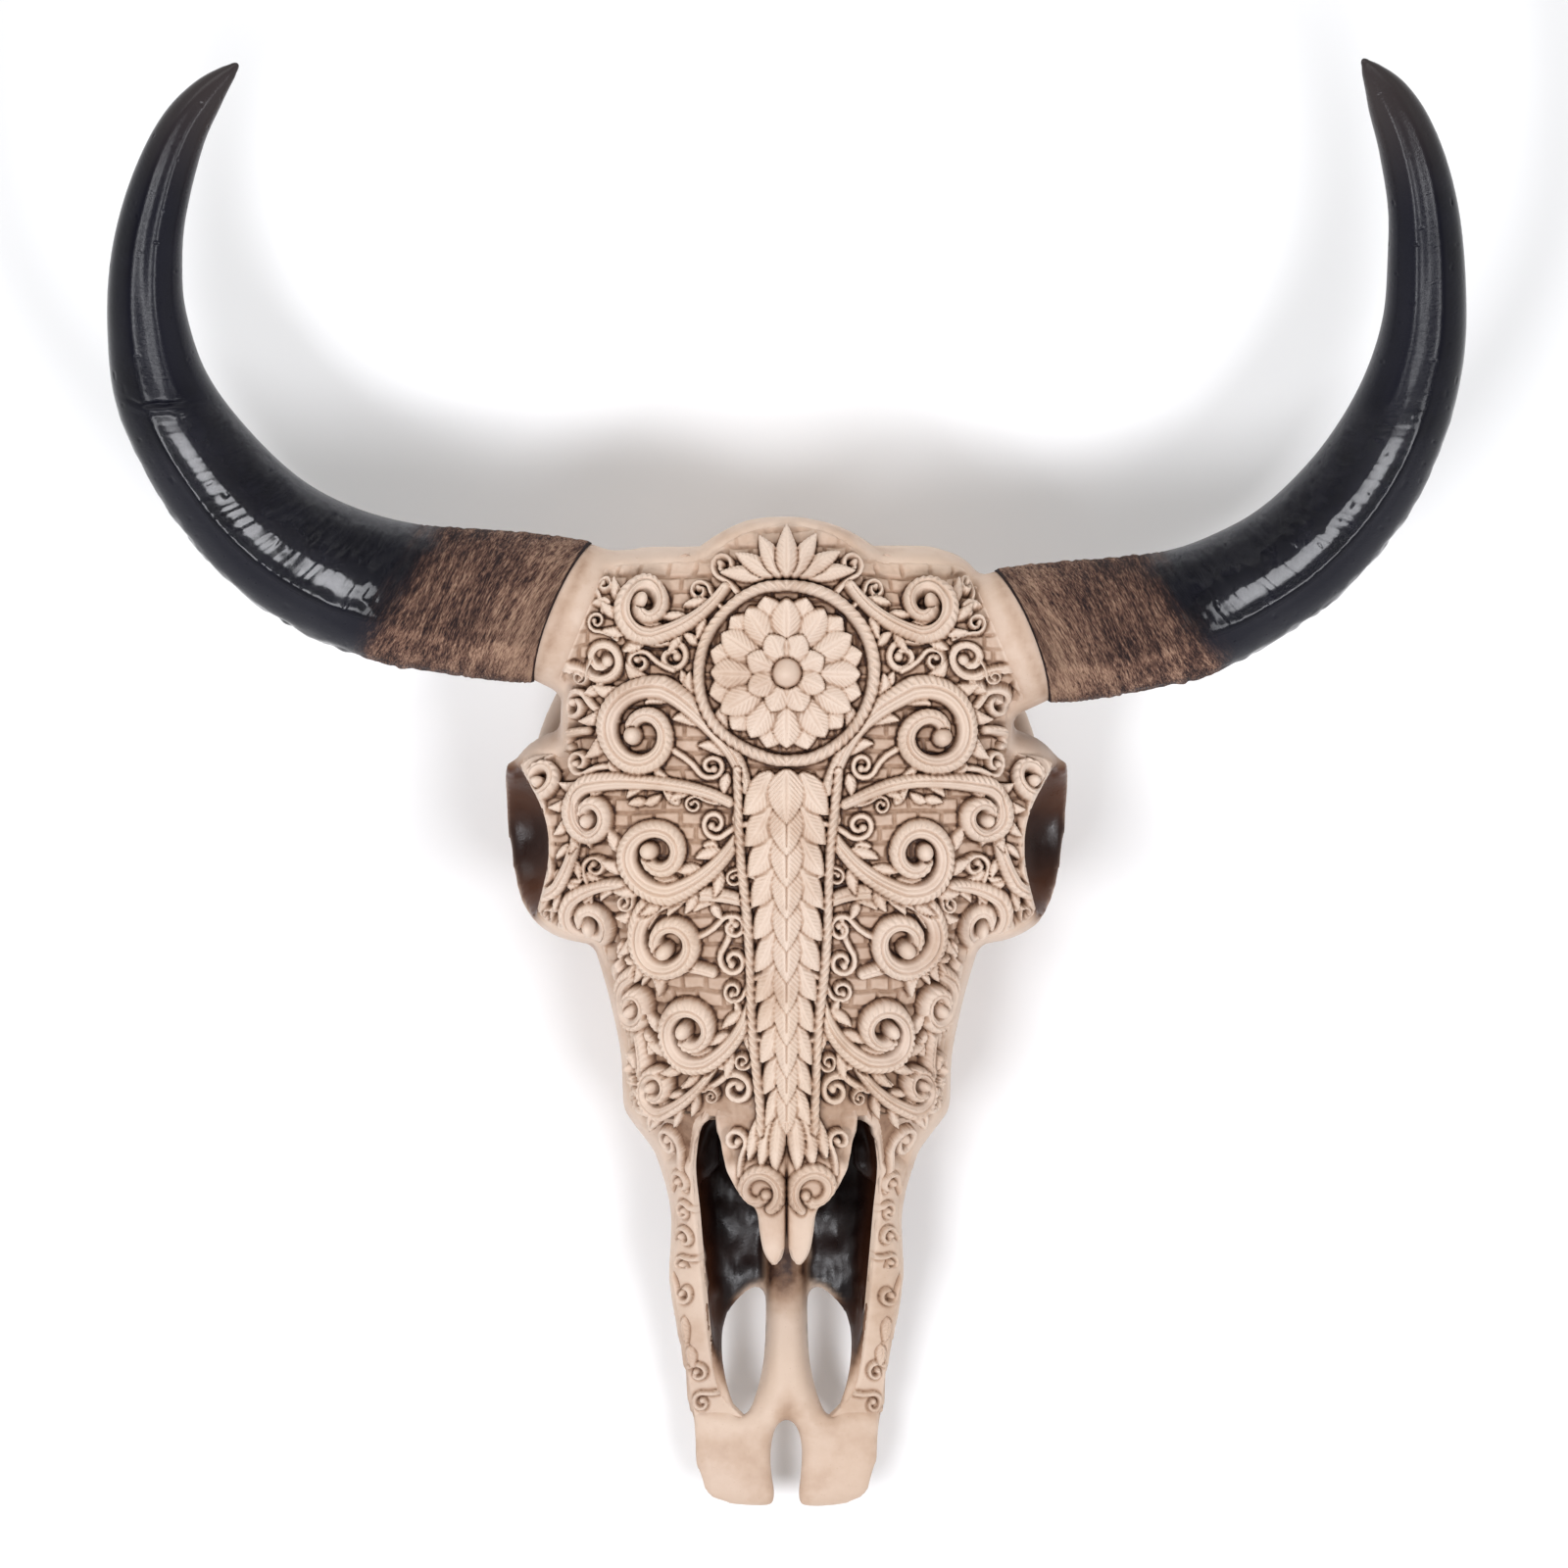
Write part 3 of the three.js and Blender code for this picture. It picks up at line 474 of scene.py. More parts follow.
for x, y, radius in sorted(curls, key=lambda curl: -curl[2]):
    turn, angle = dice.choice((1, -1)), dice.uniform(0, 2 * math.pi)
    if radius > SMALLEST_CURL:
        press_curl(x, y, radius * 1.12, turn, angle)
    else:
        way = np.array([math.cos(angle), math.sin(angle)]) * radius
        press_leaf((x, y) - way * 1.3, (x, y) + way * 1.5, radius * 0.75, top=1.1)
for scroll in SCROLLS[::-1]:
    press_scroll(*scroll)

# Fan of leaves on the crown.
for k in (3, 2, 1, 0):
    angle = math.radians(90 - k * 27)
    base = (2.4 * k, 71.0)
    point = (base[0] + 17 * math.cos(angle), base[1] + (18 - 1.6 * k) * math.sin(angle))
    press_leaf(base, point, 4.2 - 0.3 * k, bow=0.1 if k else 0, top=2.4 - 0.2 * k)

# Garland down the nose: rows of leaves that overlap like tiles, between two ropes, with a
# spray of long leaves at its foot that runs out over the nasal bones.
press_curl(19, -124, 5.2, -1, 3.9, top=1.2, turns=1.1, stout=0.28)
for x, y, wide, bow in ((13.5, -131, 3.0, 0.16), (9.0, -134, 3.2, 0.1), (4.0, -136, 3.2, 0.05)):
    press_leaf((x * 0.3, -111), (x, y), wide, bow=bow, top=2.2, fullest=0.5, edge=-1.2)
pitch = (GARLAND_FROM - GARLAND_TO) / GARLAND_ROWS
for k in range(GARLAND_ROWS - 1, -1, -1):
    y = GARLAND_FROM - pitch * k
    half = 15 - 6.5 * k / (GARLAND_ROWS - 1)
    end = (half * 0.98, y - pitch * 1.27)
    press_leaf((half * 0.35, y + 1), end, half * 0.34, bow=-0.12, top=1.5, tip=1.1, edge=-0.5)
    press_leaf((0, y + 2), (0, y - pitch * 1.55), half * 0.42, bow=0, top=2.0, tip=1.4, veins=0.6, edge=0.1)
rope_rows = np.linspace(4, GARLAND_TO - 5, 60)
rope = np.c_[np.interp(rope_rows, [GARLAND_TO, 4], [9.5, 17.5]), rope_rows]
window, place, beside, total = near_line(rope, 3.2)
press_rope(window, beside, 1.7, ripple((place + 1.1 * beside) / 3.0) ** 1.2, 2.6)

# Rosette on the forehead: three rounds of petals about a button, in a twisted ring.
for count, start, inner, outer, wide, top, edge in (
    (12, 15, 9, 27.2, 5.6, 1.4, -1.2), (12, 0, 7, 26, 5.2, 2.2, -0.3), (8, 22.5, 2, 14.5, 4.4, 3.2, 1.4),
):
    for k in range(count):
        angle = math.radians(360 * k / count + start)
        way = np.array([math.cos(angle), math.sin(angle)])
        centre = np.array([0, ROSETTE_Y])
        ends = centre + way * inner, centre + way * outer
        press_leaf(*ends, wide, bow=0, top=top, fullest=0.61, tip=1.2, edge=edge)
press_knob(0, ROSETTE_Y, 5.4, top=5.4)
ring_away = np.hypot(way_map, row_map - ROSETTE_Y) - ROSETTE_RING
turns = np.arctan2(row_map - ROSETTE_Y, way_map) * RING_STRANDS / (2 * math.pi)
press_rope((slice(None), slice(None)), ring_away, 2.1, ripple(turns + ring_away * 0.25), 3.0)

# The rosette and the garland swell towards their middle.
middle = 1 - np.hypot(way_map, row_map - ROSETTE_Y) / (ROSETTE_RING - 2)
relief += 2.4 * step_up(0, 1, np.clip(middle, 0, 1) * 1.1)
garland_half = np.interp(row_map, [GARLAND_TO, 4], [8.5, 16.0])
along_garland = between(GARLAND_TO - 6, GARLAND_TO + 12, -4, 8, row_map)
relief += 2.8 * along_garland * np.clip(1 - (way_map / garland_half) ** 2, 0, 1)

# Two coils over the plain tips of the nasal bones, and small ones down the plain rims.
t = np.linspace(0, 1, 50)
size = 7.0 - 4.4 * step_up(0.4, 1, t)
angle = np.radians(236 - 395 * t)
tip_coil = np.c_[9.2 + size * np.cos(angle), -142.3 + size * np.sin(angle)]
halves = np.interp(np.linspace(0, 1, 40), [0, 0.12, 0.5, 1], [1.9, 2.7, 2.9, 1.8])
press_stem(tip_coil, halves, top=3.6, ribs=1.0)
press_knob(*tip_coil[-1], 1.9, top=3.4)
on_plain_tips = 1 - step_up(-137, -131, row_map)
seam_line = np.exp(-(way_map / 0.55) ** 2) * on_plain_tips
relief -= 1.3 * seam_line
for y, inwards, radius, turn, angle in (
    (-139, 6.4, 4.6, 1, 0.3), (-149, 5.0, 4.2, -1, 2.6), (-158, 5.2, 4.4, 1, 0.6), (-168, 4.8, 4.2, -1, 2.2),
    (-178, 5.2, 4.4, -1, 0.0), (-206, 4.8, 4.0, 1, 0.9), (-217, 4.6, 4.4, -1, 2.0),
):
    x = float(along(HALF_WIDTH, y)) - inwards
    press_curl(way_of(x, y), y, radius, turn, angle, top=1.9, turns=1.0, stout=0.31)
for y, length in ((-186, 9), (-196, 8)):
    x = float(along(HALF_WIDTH, y)) - 3.6
    press_leaf((way_of(x, y), y), (way_of(x - 1.5, y - length), y - length), 2.3, top=1.3, edge=-0.6)

relief += 0.05 * map_noise(8, 2.0) + 0.12 * map_noise(9, 9.0)
hollow = np.clip((blurred(relief, 0.7) - relief) * 0.34, 0, 1)
hollow += np.clip((blurred(relief, 2.6) - relief) * 0.12, 0, 1)
wash_map = hollow + np.clip((-relief - 0.6) * 0.10, 0, 1)
wash_map += 0.7 * seam_line + 0.25 * np.exp(-np.abs(way_map) / 1.8) * on_plain_tips
wash_map = np.clip(wash_map + 0.07 * (1 - worked), 0, 1)


# The bone finish: ivory casting resin, a brown wash rubbed into the hollows and wiped off
# the high places, and a dark gloss lacquer inside the nose and the eye sockets, painted
# lighter red-brown near their rims and darker deep inside, which is painted shade.
def attribute_of(tree, name, output="Fac"):
    reader = tree.nodes.new("ShaderNodeAttribute")
    reader.attribute_name = name
    return reader.outputs[output]


def noise_of(tree, scale, detail, roughness=0.55, place=None):
    """Noise on the object's own coordinates, in metres, or on another place."""
    if place is None:
        place = tree.nodes.new("ShaderNodeTexCoord").outputs["Object"]
    noise = tree.nodes.new("ShaderNodeTexNoise")
    for name, value in (("Scale", scale), ("Detail", detail), ("Roughness", roughness)):
        noise.inputs[name].default_value = value
    tree.links.new(place, noise.inputs["Vector"])
    return noise.outputs["Fac"]


def ramp_of(tree, value, *stops):
    ramp = tree.nodes.new("ShaderNodeValToRGB")
    elements = ramp.color_ramp.elements
    while len(elements) < len(stops):
        elements.new(0.5)
    for element, (position, colour) in zip(elements, stops):
        element.position = position
        element.color = (*colour, 1)
    tree.links.new(value, ramp.inputs["Fac"])
    return ramp.outputs["Color"]


def range_of(tree, value, low, high, to_low, to_high):
    span = tree.nodes.new("ShaderNodeMapRange")
    for name, amount in (("From Min", low), ("From Max", high), ("To Min", to_low), ("To Max", to_high)):
        span.inputs[name].default_value = amount
    tree.links.new(value, span.inputs["Value"])
    return span.outputs["Result"]


def feed(tree, socket, value):
    """Set a socket to a number or a colour, or link it to another node's output."""
    if isinstance(value, tuple):
        socket.default_value = (*value, 1)
    elif isinstance(value, (int, float)):
        socket.default_value = value
    else:
        tree.links.new(value, socket)


def plus(tree, first, second, operation="ADD"):
    maths = tree.nodes.new("ShaderNodeMath")
    maths.operation = operation
    feed(tree, maths.inputs[0], first)
    feed(tree, maths.inputs[1], second)
    return maths.outputs["Value"]


def times(tree, first, second):
    return plus(tree, first, second, "MULTIPLY")


def mix_of(tree, share, first, second, blend="MIX"):
    mix = tree.nodes.new("ShaderNodeMix")
    mix.data_type = "RGBA"
    mix.blend_type = blend
    colours = [s for s in mix.inputs if s.type == "RGBA"]
    for socket, value in zip((mix.inputs["Factor"], *colours), (share, first, second)):
        feed(tree, socket, value)
    return next(s for s in mix.outputs if s.type == "RGBA")


def bump_of(tree, height, strength, distance, under=None):
    bump = tree.nodes.new("ShaderNodeBump")
    bump.inputs["Strength"].default_value = strength
    bump.inputs["Distance"].default_value = distance
    tree.links.new(height, bump.inputs["Height"])
    if under is not None:
        tree.links.new(under, bump.inputs["Normal"])
    return bump.outputs["Normal"]


def new_material(name):
    material = bpy.data.materials.new(name)
    material.use_nodes = True
    tree = material.node_tree
    return material, tree, tree.nodes["Principled BSDF"]


bone_finish, tree, shader = new_material("washed_bone")
wash = attribute_of(tree, "wash")
stain = noise_of(tree, 42, 4)
patch = noise_of(tree, 300, 4)
wash = plus(tree, wash, range_of(tree, stain, 0.5, 0.75, 0.0, 0.2))
wash = times(tree, wash, range_of(tree, patch, 0.25, 0.75, 0.8, 1.15))
bone_colour = ramp_of(
    tree, wash,
    (0.0, (0.655, 0.52, 0.425)), (0.18, (0.525, 0.38, 0.288)), (0.45, (0.36, 0.23, 0.155)),
    (0.75, (0.16, 0.083, 0.048)), (1.0, (0.04, 0.016, 0.010)),
)
warm = range_of(tree, noise_of(tree, 16, 2), 0.45, 0.7, 0.0, 0.22)
bone_colour = mix_of(tree, warm, bone_colour, mix_of(tree, 1.0, bone_colour, (0.95, 0.86, 0.70), "MULTIPLY"))
pores = range_of(tree, noise_of(tree, 1500, 2, 0.6), 0.68, 0.78, 0.0, 0.6)
bone_colour = mix_of(tree, pores, bone_colour, (0.30, 0.17, 0.11))
# The lacquer's red-brown is lighter near the rims and darker deep inside: painted shade over the real dark
# lacquer.
lacquer_tone_and_painted_shade = times(tree, attribute_of(tree, "lacquer_red_and_painted_shade"), 0.65)
lacquer_tone_and_painted_shade = plus(tree, lacquer_tone_and_painted_shade, times(tree, noise_of(tree, 60, 4), 0.35))
dark_colour = ramp_of(
    tree, lacquer_tone_and_painted_shade, (0.12, (0.007, 0.004, 0.004)), (0.3, (0.017, 0.006, 0.004)), (0.55, (0.036, 0.011, 0.005)),
    (0.85, (0.088, 0.028, 0.010)),
)
inside = attribute_of(tree, "inside")
tree.links.new(mix_of(tree, inside, bone_colour, dark_colour), shader.inputs["Base Color"])
dull = range_of(tree, noise_of(tree, 120, 3), 0.3, 0.7, 0.42, 0.58)
dull = plus(tree, dull, times(tree, inside, -0.16))
tree.links.new(dull, shader.inputs["Roughness"])
grain = bump_of(tree, noise_of(tree, 260, 5, 0.6), 0.25, 0.0006)
grain = bump_of(tree, noise_of(tree, 1500, 3, 0.6), 0.12, 0.0003, grain)
tree.links.new(grain, shader.inputs["Normal"])
shader.inputs["Specular IOR Level"].default_value = 0.3


def finish_piece(piece, body, node):
    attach(piece, body)
    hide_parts(node)


def set_numbers(mesh, name, values):
    layer = mesh.attributes.new(name, "FLOAT", "POINT")
    layer.data.foreach_set("value", np.ascontiguousarray(values, dtype=np.float32))


# The carved skin: the face of the casting on each side of the midline, from the crown to
# the nose, then the nasal bone and the rim beside the nose opening. Each is a closed shell
# that lies on the base bone, cut by the map above; the two sides meet on the midline.
OPENING = [
    (-70, 16), (-95, 24), (-117, 28.5), (-124, 31), (-135, 32.6), (-150, 31.2), (-172, 28.6), (-196, 26),
    (-211, 22.8), (-221, 15), (-226, 7),
]
NASAL_OUTER = [
    (-92, 27), (-118, 25.6), (-128, 24.4), (-135, 22), (-141, 19), (-145.5, 15.4), (-148, 12), (-151, 10.8),
    (-157, 10), (-162, 9), (-165.5, 7.4), (-167.8, 4.9),
]
NASAL_SPLIT = [(-92, 0), (-150, 0), (-157, 0.3), (-162, 0.8), (-165.5, 1.8), (-167.8, 3.9)]
FEATHER = 4.0
SKIN_DEPTH = 6.0
EDGE_DIP, ROOF_DIP, LOBE_DIP, LOBE_DIP_RUN = 1.2, 1.4, 2.0, 14
UNDER_COLUMNS = 18
SKIN_BACK_Y, BROW_END_Y, BONES_END_Y, RIM_END_Y = 91.0, -18, -167.4, -223


def read_map(field, way, row):
    column = np.clip((way - WAYS[0]) / CELL, 0, len(WAYS) - 1.001)
    line = np.clip((row - ROWS[0]) / CELL, 0, len(ROWS) - 1.001)
    c, r = column.astype(int), line.astype(int)
    fc, fr = column - c, line - r
    low = field[r, c] * (1 - fc) + field[r, c + 1] * fc
    high = field[r + 1, c] * (1 - fc) + field[r + 1, c + 1] * fc
    return low * (1 - fr) + high * fr


def surface_normals(points):
    normal = np.cross(np.gradient(points, axis=0), np.gradient(points, axis=1))
    return normal / np.maximum(np.linalg.norm(normal, axis=2, keepdims=True), 1e-12)


def even_rows(side, first, last, count):
    """Rows from first to last, evenly spaced over the face along a line near the midline."""
    y = np.linspace(first, last, 600)
    z = face_height(np.full_like(y, 12.0), y, side)
    travelled = np.r_[0, np.cumsum(np.hypot(np.diff(y), np.diff(z)))]
    return np.interp(np.linspace(0, travelled[-1], count), travelled, y)


def unit(normals, on_middle):
    """The normals at length 1, upright across the midline where the two sides meet."""
    normals[on_middle, 0, 0] = 0
    return normals / np.maximum(np.linalg.norm(normals, axis=2, keepdims=True), 1e-9)


def carved_skin(
    name, side, rows, inner_x, outer_x, columns,
    plain=(False, False), thick=SKIN_DEPTH, rounded=0.0, dip_run=0.0,
):
    """A shell between inner_x and outer_x in each row.

    plain says which ends of the rows fade out, rounded how far the long edges are rounded,
    and dip_run over what length the first rows come up from under the roof.
    """
    step_back, step_on = 2 * rows[0] - rows[1], 2 * rows[-1] - rows[-2]
    rows = np.r_[step_back, rows, step_on]
    inner, outer = inner_x(rows), outer_x(rows)
    fine_x, fine_y = np.meshgrid(FINE_X, rows)
    fine_z = face_height(fine_x, fine_y, side)
    fine_way = np.c_[np.zeros(len(rows)), np.cumsum(np.hypot(FINE_STEP, np.diff(fine_z, axis=1)), axis=1)]
    ends = np.array([np.interp(pair, FINE_X, line) for pair, line in zip(np.c_[inner, outer], fine_way)])
    on_middle = inner < 0.01
    cropped = inner_x is midline
    even = np.linspace(0, 1, columns)
    spread_out = ends[:, :1] + (ends[:, 1:] - ends[:, :1]) * even
    way = np.minimum(even * ends[:, 1].max(), ends[:, 1:]) if cropped else spread_out
    last = np.argmax(way >= ends[:, 1:] - 1e-6, axis=1)
    x = np.array([np.interp(at, line, FINE_X) for at, line in zip(way, fine_way)])
    y = np.repeat(rows[:, None], columns, axis=1)
    plain_skin = np.dstack([x, y, face_height(x, y, side)])
    normal = surface_normals(plain_skin)
    for _ in range(12):
        normal[:, 1:-1] = (normal[:, :-2] + 2 * normal[:, 1:-1] + normal[:, 2:]) / 4
    normal = unit(normal, on_middle)
    sway = step_up(2, 9, way) * 0.45
    drift_x = sway * np.sin(way / 7.3 + side * 1.7 + y / 11.0)
    drift_y = sway * np.cos(way / 9.1 - side * 0.9 + y / 8.3)
    height = read_map(relief, way + drift_x, y + drift_y)
    wash = read_map(wash_map, way + drift_x, y + drift_y)
    from_edge = way[:, -1:] - way
    by_outline = np.minimum(from_edge, from_outline(x, y, side, 1.3))
    from_inner = (way - way[:, :1]) * 1.6 + 9 * (1 - np.clip(inner / 0.9, 0, 1))[:, None]
    from_edge = np.where(on_middle[:, None], by_outline, np.minimum(from_edge, from_inner))
    travelled = np.r_[0, np.cumsum(np.hypot(*np.diff(plain_skin[:, 0, 1:], axis=0).T))][:, None]
    if plain[0]:
        from_edge = np.minimum(from_edge, travelled - travelled[1])
    if plain[1]:
        from_edge = np.minimum(from_edge, travelled[-2] - travelled)
    share = step_up(0, FEATHER, from_edge)
    height = height * share - EDGE_DIP * (1 - step_up(0, 1.8, from_edge))
    if rounded:
        beside = np.clip(1 - np.minimum(way[:, -1:] - way, way - way[:, :1]) / (rounded * 1.6), 0, 1)
        height -= rounded * (1 - np.sqrt(1 - np.minimum(beside, 0.999) ** 2))
    if dip_run:
        height -= ROOF_DIP * (1 - step_up(0, dip_run, travelled - travelled[1]))
    if plain[1]:
        height -= LOBE_DIP * (1 - step_up(0, LOBE_DIP_RUN, travelled[-2] - travelled))
    wash = wash * (0.25 + 0.75 * share)
    skin = plain_skin + normal * height[..., None]
    shading = unit(surface_normals(skin), on_middle)
    skin, shading, wash, last = skin[1:-1], shading[1:-1], wash[1:-1], last[1:-1]
    plain_skin, normal = plain_skin[1:-1], normal[1:-1]
    tall = len(skin)
    every_row = np.arange(tall)[:, None]
    kept = np.arange(columns) <= last[:, None]
    grid = np.cumsum(kept.ravel()).reshape(kept.shape) - 1
    grid = np.where(kept, grid, grid[every_row, last[:, None]])
    pick = np.round(np.linspace(0, 1, UNDER_COLUMNS) * last[:, None]).astype(int)
    under_skin = plain_skin[every_row, pick]
    centre = 0 if cropped else plain_skin[:, [0, -1], 0].mean(1)[:, None]
    under_skin[..., 0] = centre + (under_skin[..., 0] - centre) * (0.95 if cropped else 0.7)
    upright = np.abs(normal[every_row, pick][..., 2])
    under_skin[..., 2] -= thick / np.clip(upright, 0.5 if cropped else 0.85, 1)
    points = np.vstack([skin[kept], under_skin.reshape(-1, 3)]) * 0.001
    points[:, 0] *= side
    below = kept.sum() + np.arange(pick.size).reshape(pick.shape)
    a, b, c, d = grid[:-1, :-1], grid[1:, :-1], grid[1:, 1:], grid[:-1, 1:]
    top = np.stack([a, b, c, d], -1)[(a != d) & (b != c)].tolist()
    top += np.stack([a, b, d], -1)[(a != d) & (b == c)].tolist()
    top += np.stack([a, b, c], -1)[(a == d) & (b != c)].tolist()
    outer_end = grid[:, -1]
    walls = np.vstack([
        np.stack([grid[1:, 0], grid[:-1, 0], below[:-1, 0], below[1:, 0]], -1),
        np.stack([outer_end[:-1], outer_end[1:], below[1:, -1], below[:-1, -1]], -1),
        np.stack([below[:-1, :-1], below[:-1, 1:], below[1:, 1:], below[1:, :-1]], -1).reshape(-1, 4),
    ]).tolist()
    first_row, last_row = grid[0][kept[0]], grid[-1][kept[-1]]
    row_ends = [[*first_row, *below[0][::-1]], [*last_row[::-1], *below[-1]]]
    faces = top + walls + [list(map(int, row_end)) for row_end in row_ends]
    if side < 0:
        faces = [face[::-1] for face in faces]
    mesh = bpy.data.meshes.new(name)
    mesh.from_pydata(points.tolist(), [], faces)
    smooth = np.zeros(len(mesh.polygons), bool)
    smooth[:len(top)] = True
    mesh.polygons.foreach_set("use_smooth", smooth)
    loops = np.empty(len(mesh.loops), np.int32)
    mesh.loops.foreach_get("vertex_index", loops)
    shading = shading[kept] * (side, 1, 1)
    corner_normals = np.zeros((len(loops), 3))
    of_top = sum(map(len, top))
    corner_normals[:of_top] = shading[loops[:of_top]]
    mesh.normals_split_custom_set(corner_normals.tolist())
    set_numbers(mesh, "wash", np.r_[wash[kept], np.full(pick.size, 0.6)])
    set_numbers(mesh, "inside", np.zeros(len(points)))
    mesh.materials.append(bone_finish)
    piece = bpy.data.objects.new(name, mesh)
    bpy.context.collection.objects.link(piece)
    finish_piece(piece, "root", "skull")


def midline(rows):
    return np.zeros_like(rows)


def nose_lip(rows):
    return along(OPENING, rows) + 0.4


def nasal_inner(rows):
    return along(NASAL_SPLIT, rows)


def nasal_outer(rows):
    return along(NASAL_OUTER, rows)


for side, word in ((-1, "left"), (1, "right")):
    def face_edge(rows, side=side):
        return np.interp(rows, EDGE_ROWS, edge_of_carving[side])

    brow_rows = even_rows(side, SKIN_BACK_Y, BROW_END_Y, 330)
    cheek_rows = even_rows(side, BROW_END_Y, ROOF_END_Y, 300)
    carved_skin(f"face_upper_{word}", side, brow_rows, midline, face_edge, 330, (True, False))
    carved_skin(f"face_lower_{word}", side, cheek_rows, midline, face_edge, 270)
    rim_rows = np.linspace(ROOF_END_Y + 2, RIM_END_Y, 300)
    carved_skin(
        f"nose_rim_{word}", side, rim_rows, nose_lip, face_edge, 64,
        plain=(False, True), thick=4.0, rounded=1.6, dip_run=2.5,
    )
    bone_rows = np.linspace(ROOF_END_Y + 2, BONES_END_Y, 140)
    carved_skin(
        f"nasal_bone_{word}", side, bone_rows, nasal_inner, nasal_outer, 64,
        thick=4.5, rounded=2.4, dip_run=2.5,
    )


# The base bone: the rest of the casting, from the crown to the front lobes, with the eye
# sockets, the nose and its palate, cheek arches, condyles and the plain necks of bone that
# carry the horns. It is joined and hollowed like the clay model and smoothed over.
OUTER_GRAIN, BONE_GRAIN = 0.0015, 0.0017
BODY_AROUND = 96
UNDERSIDE = [
    (82, 60), (79, 42), (73, 30), (60, 22), (40, 21), (0, 28), (-40, 29), (-80, 25), (-114, 23), (-251, 25.5),
]
UNDERSIDE_FULLNESS = 1.6
OPENING_FLOOR = [(-70, 58), (-95, 38), (-117, 31), (-200, 30), (-215, 32), (-226, 35)]
ROOF_UNDERSIDE_Z = 83
ROOF_THICKNESS = 9
TEMPLE_AT, TEMPLE_SIZE = (84, 33, 69), (34, 26, 20)
THROAT_AT, THROAT_SIZE = (0, -6, 24), (17, 36, 16)
CONDYLE_AT, CONDYLE_SIZE = (14, 73, 19), (13, 17, 20)
CHEEK_ARCH = [(84, -6, 54, 7), (82, 10, 50, 6), (76, 28, 47, 5.5), (64, 46, 46, 6), (46, 60, 46, 9)]
SOCKET_RIM = [
    (95.5, 6, 82, 2.5), (96, 0, 68, 2.5), (95, -16, 61.5, 2.4), (91.5, -36, 65, 2.4), (85, -48, 78, 2.5),
]
NECK_PROCESS = [(40, 62, 40, 11), (39, 63, 20, 8), (37, 64, -1, 4.5)]
PALATE_BAR = [(-138, 5), (-160, 7.2), (-190, 7), (-204, 7.8), (-214, 10), (-222, 13), (-229, 14)]
PALATE_BAR_TOP = [(-138, 28), (-150, 33), (-165, 37.5), (-200, 38), (-229, 36)]
PALATE_SLOT = [
    (8.4, -174.8), (14, -177.6), (19.6, -183.5), (22.3, -191), (22.4, -201), (20.6, -211), (17.4, -219.4),
    (15.2, -221.2), (12.8, -218.6), (10, -211), (8, -201), (7.3, -188), (7.4, -178),
]
NOSE_NOTCH = [(0, -221), (2.4, -222.6), (4.4, -226), (5.2, -231), (5.0, -238), (2.9, -244.5), (2.2, -256)]
TOOTH_RIDGE = [(13, 9.5, 0), (17, 10.5, 1), (28, 11, 8), (46, 11, 26)]


def deselect_all():
    bpy.ops.object.select_all(action="DESELECT")


def choose(*pieces):
    deselect_all()
    for piece in pieces:
        piece.select_set(True)
    bpy.context.view_layer.objects.active = pieces[0]


def join(*pieces):
    choose(*pieces)
    bpy.ops.object.join()
    return bpy.context.object


def apply_modifier(piece, kind, **values):
    choose(piece)
    modifier = piece.modifiers.new(kind.lower(), kind)
    for name, value in values.items():
        setattr(modifier, name, value)
    bpy.ops.object.modifier_apply(modifier=modifier.name)


def smooth_clay(piece, grain, passes=0):
    """Make one even skin of all that the piece is joined from, and rub it smooth."""
    apply_modifier(piece, "REMESH", mode="VOXEL", voxel_size=grain)
    if passes:
        apply_modifier(piece, "SMOOTH", factor=0.5, iterations=passes)


def cut_flat(piece):
    """Take off what would stand lower than the table, and close the cut."""
    choose(piece)
    bpy.ops.object.mode_set(mode="EDIT")
    bpy.ops.mesh.select_all(action="SELECT")
    bpy.ops.mesh.bisect(plane_co=(0, 0, 0.00005), plane_no=(0, 0, -1), use_fill=True, clear_outer=True)
    bpy.ops.object.mode_set(mode="OBJECT")


def cut_from(piece, cutter):
    apply_modifier(piece, "BOOLEAN", object=cutter, operation="DIFFERENCE", solver="MANIFOLD")
    bpy.data.objects.remove(cutter)


def loft(name, sections):
    """A closed body through rings of points (in millimetres), its faces turned outwards."""
    sections = np.asarray(sections, float) * 0.001
    count, around = sections.shape[:2]
    grid = np.arange(count * around).reshape(count, around)
    after = np.roll(grid, -1, axis=1)
    quads = np.stack([grid[:-1], grid[1:], after[1:], after[:-1]], -1).reshape(-1, 4).tolist()
    faces = quads + [grid[0].tolist(), grid[-1][::-1].tolist()]
    mesh = bpy.data.meshes.new(name)
    mesh.from_pydata(sections.reshape(-1, 3).tolist(), [], faces)
    shape = bmesh.new()
    shape.from_mesh(mesh)
    bmesh.ops.recalc_face_normals(shape, faces=shape.faces)
    shape.to_mesh(mesh)
    shape.free()
    piece = bpy.data.objects.new(name, mesh)
    bpy.context.collection.objects.link(piece)
    return piece


def ball(name, at, size, fullness=2.0, lean=0.0):
    """A ball stretched to three sizes; a fullness over 2 makes it boxier."""
    deselect_all()
    bpy.ops.mesh.primitive_uv_sphere_add(segments=64, ring_count=32, radius=1)
    piece = bpy.context.object
    piece.name = name
    for vertex in piece.data.vertices:
        shaped = [math.copysign(abs(c) ** (2 / fullness), c) * s for c, s in zip(vertex.co, size)]
        shaped[0] += lean * shaped[1]
        vertex.co = Vector([(c + a) * 0.001 for c, a in zip(shaped, at)])
    return piece


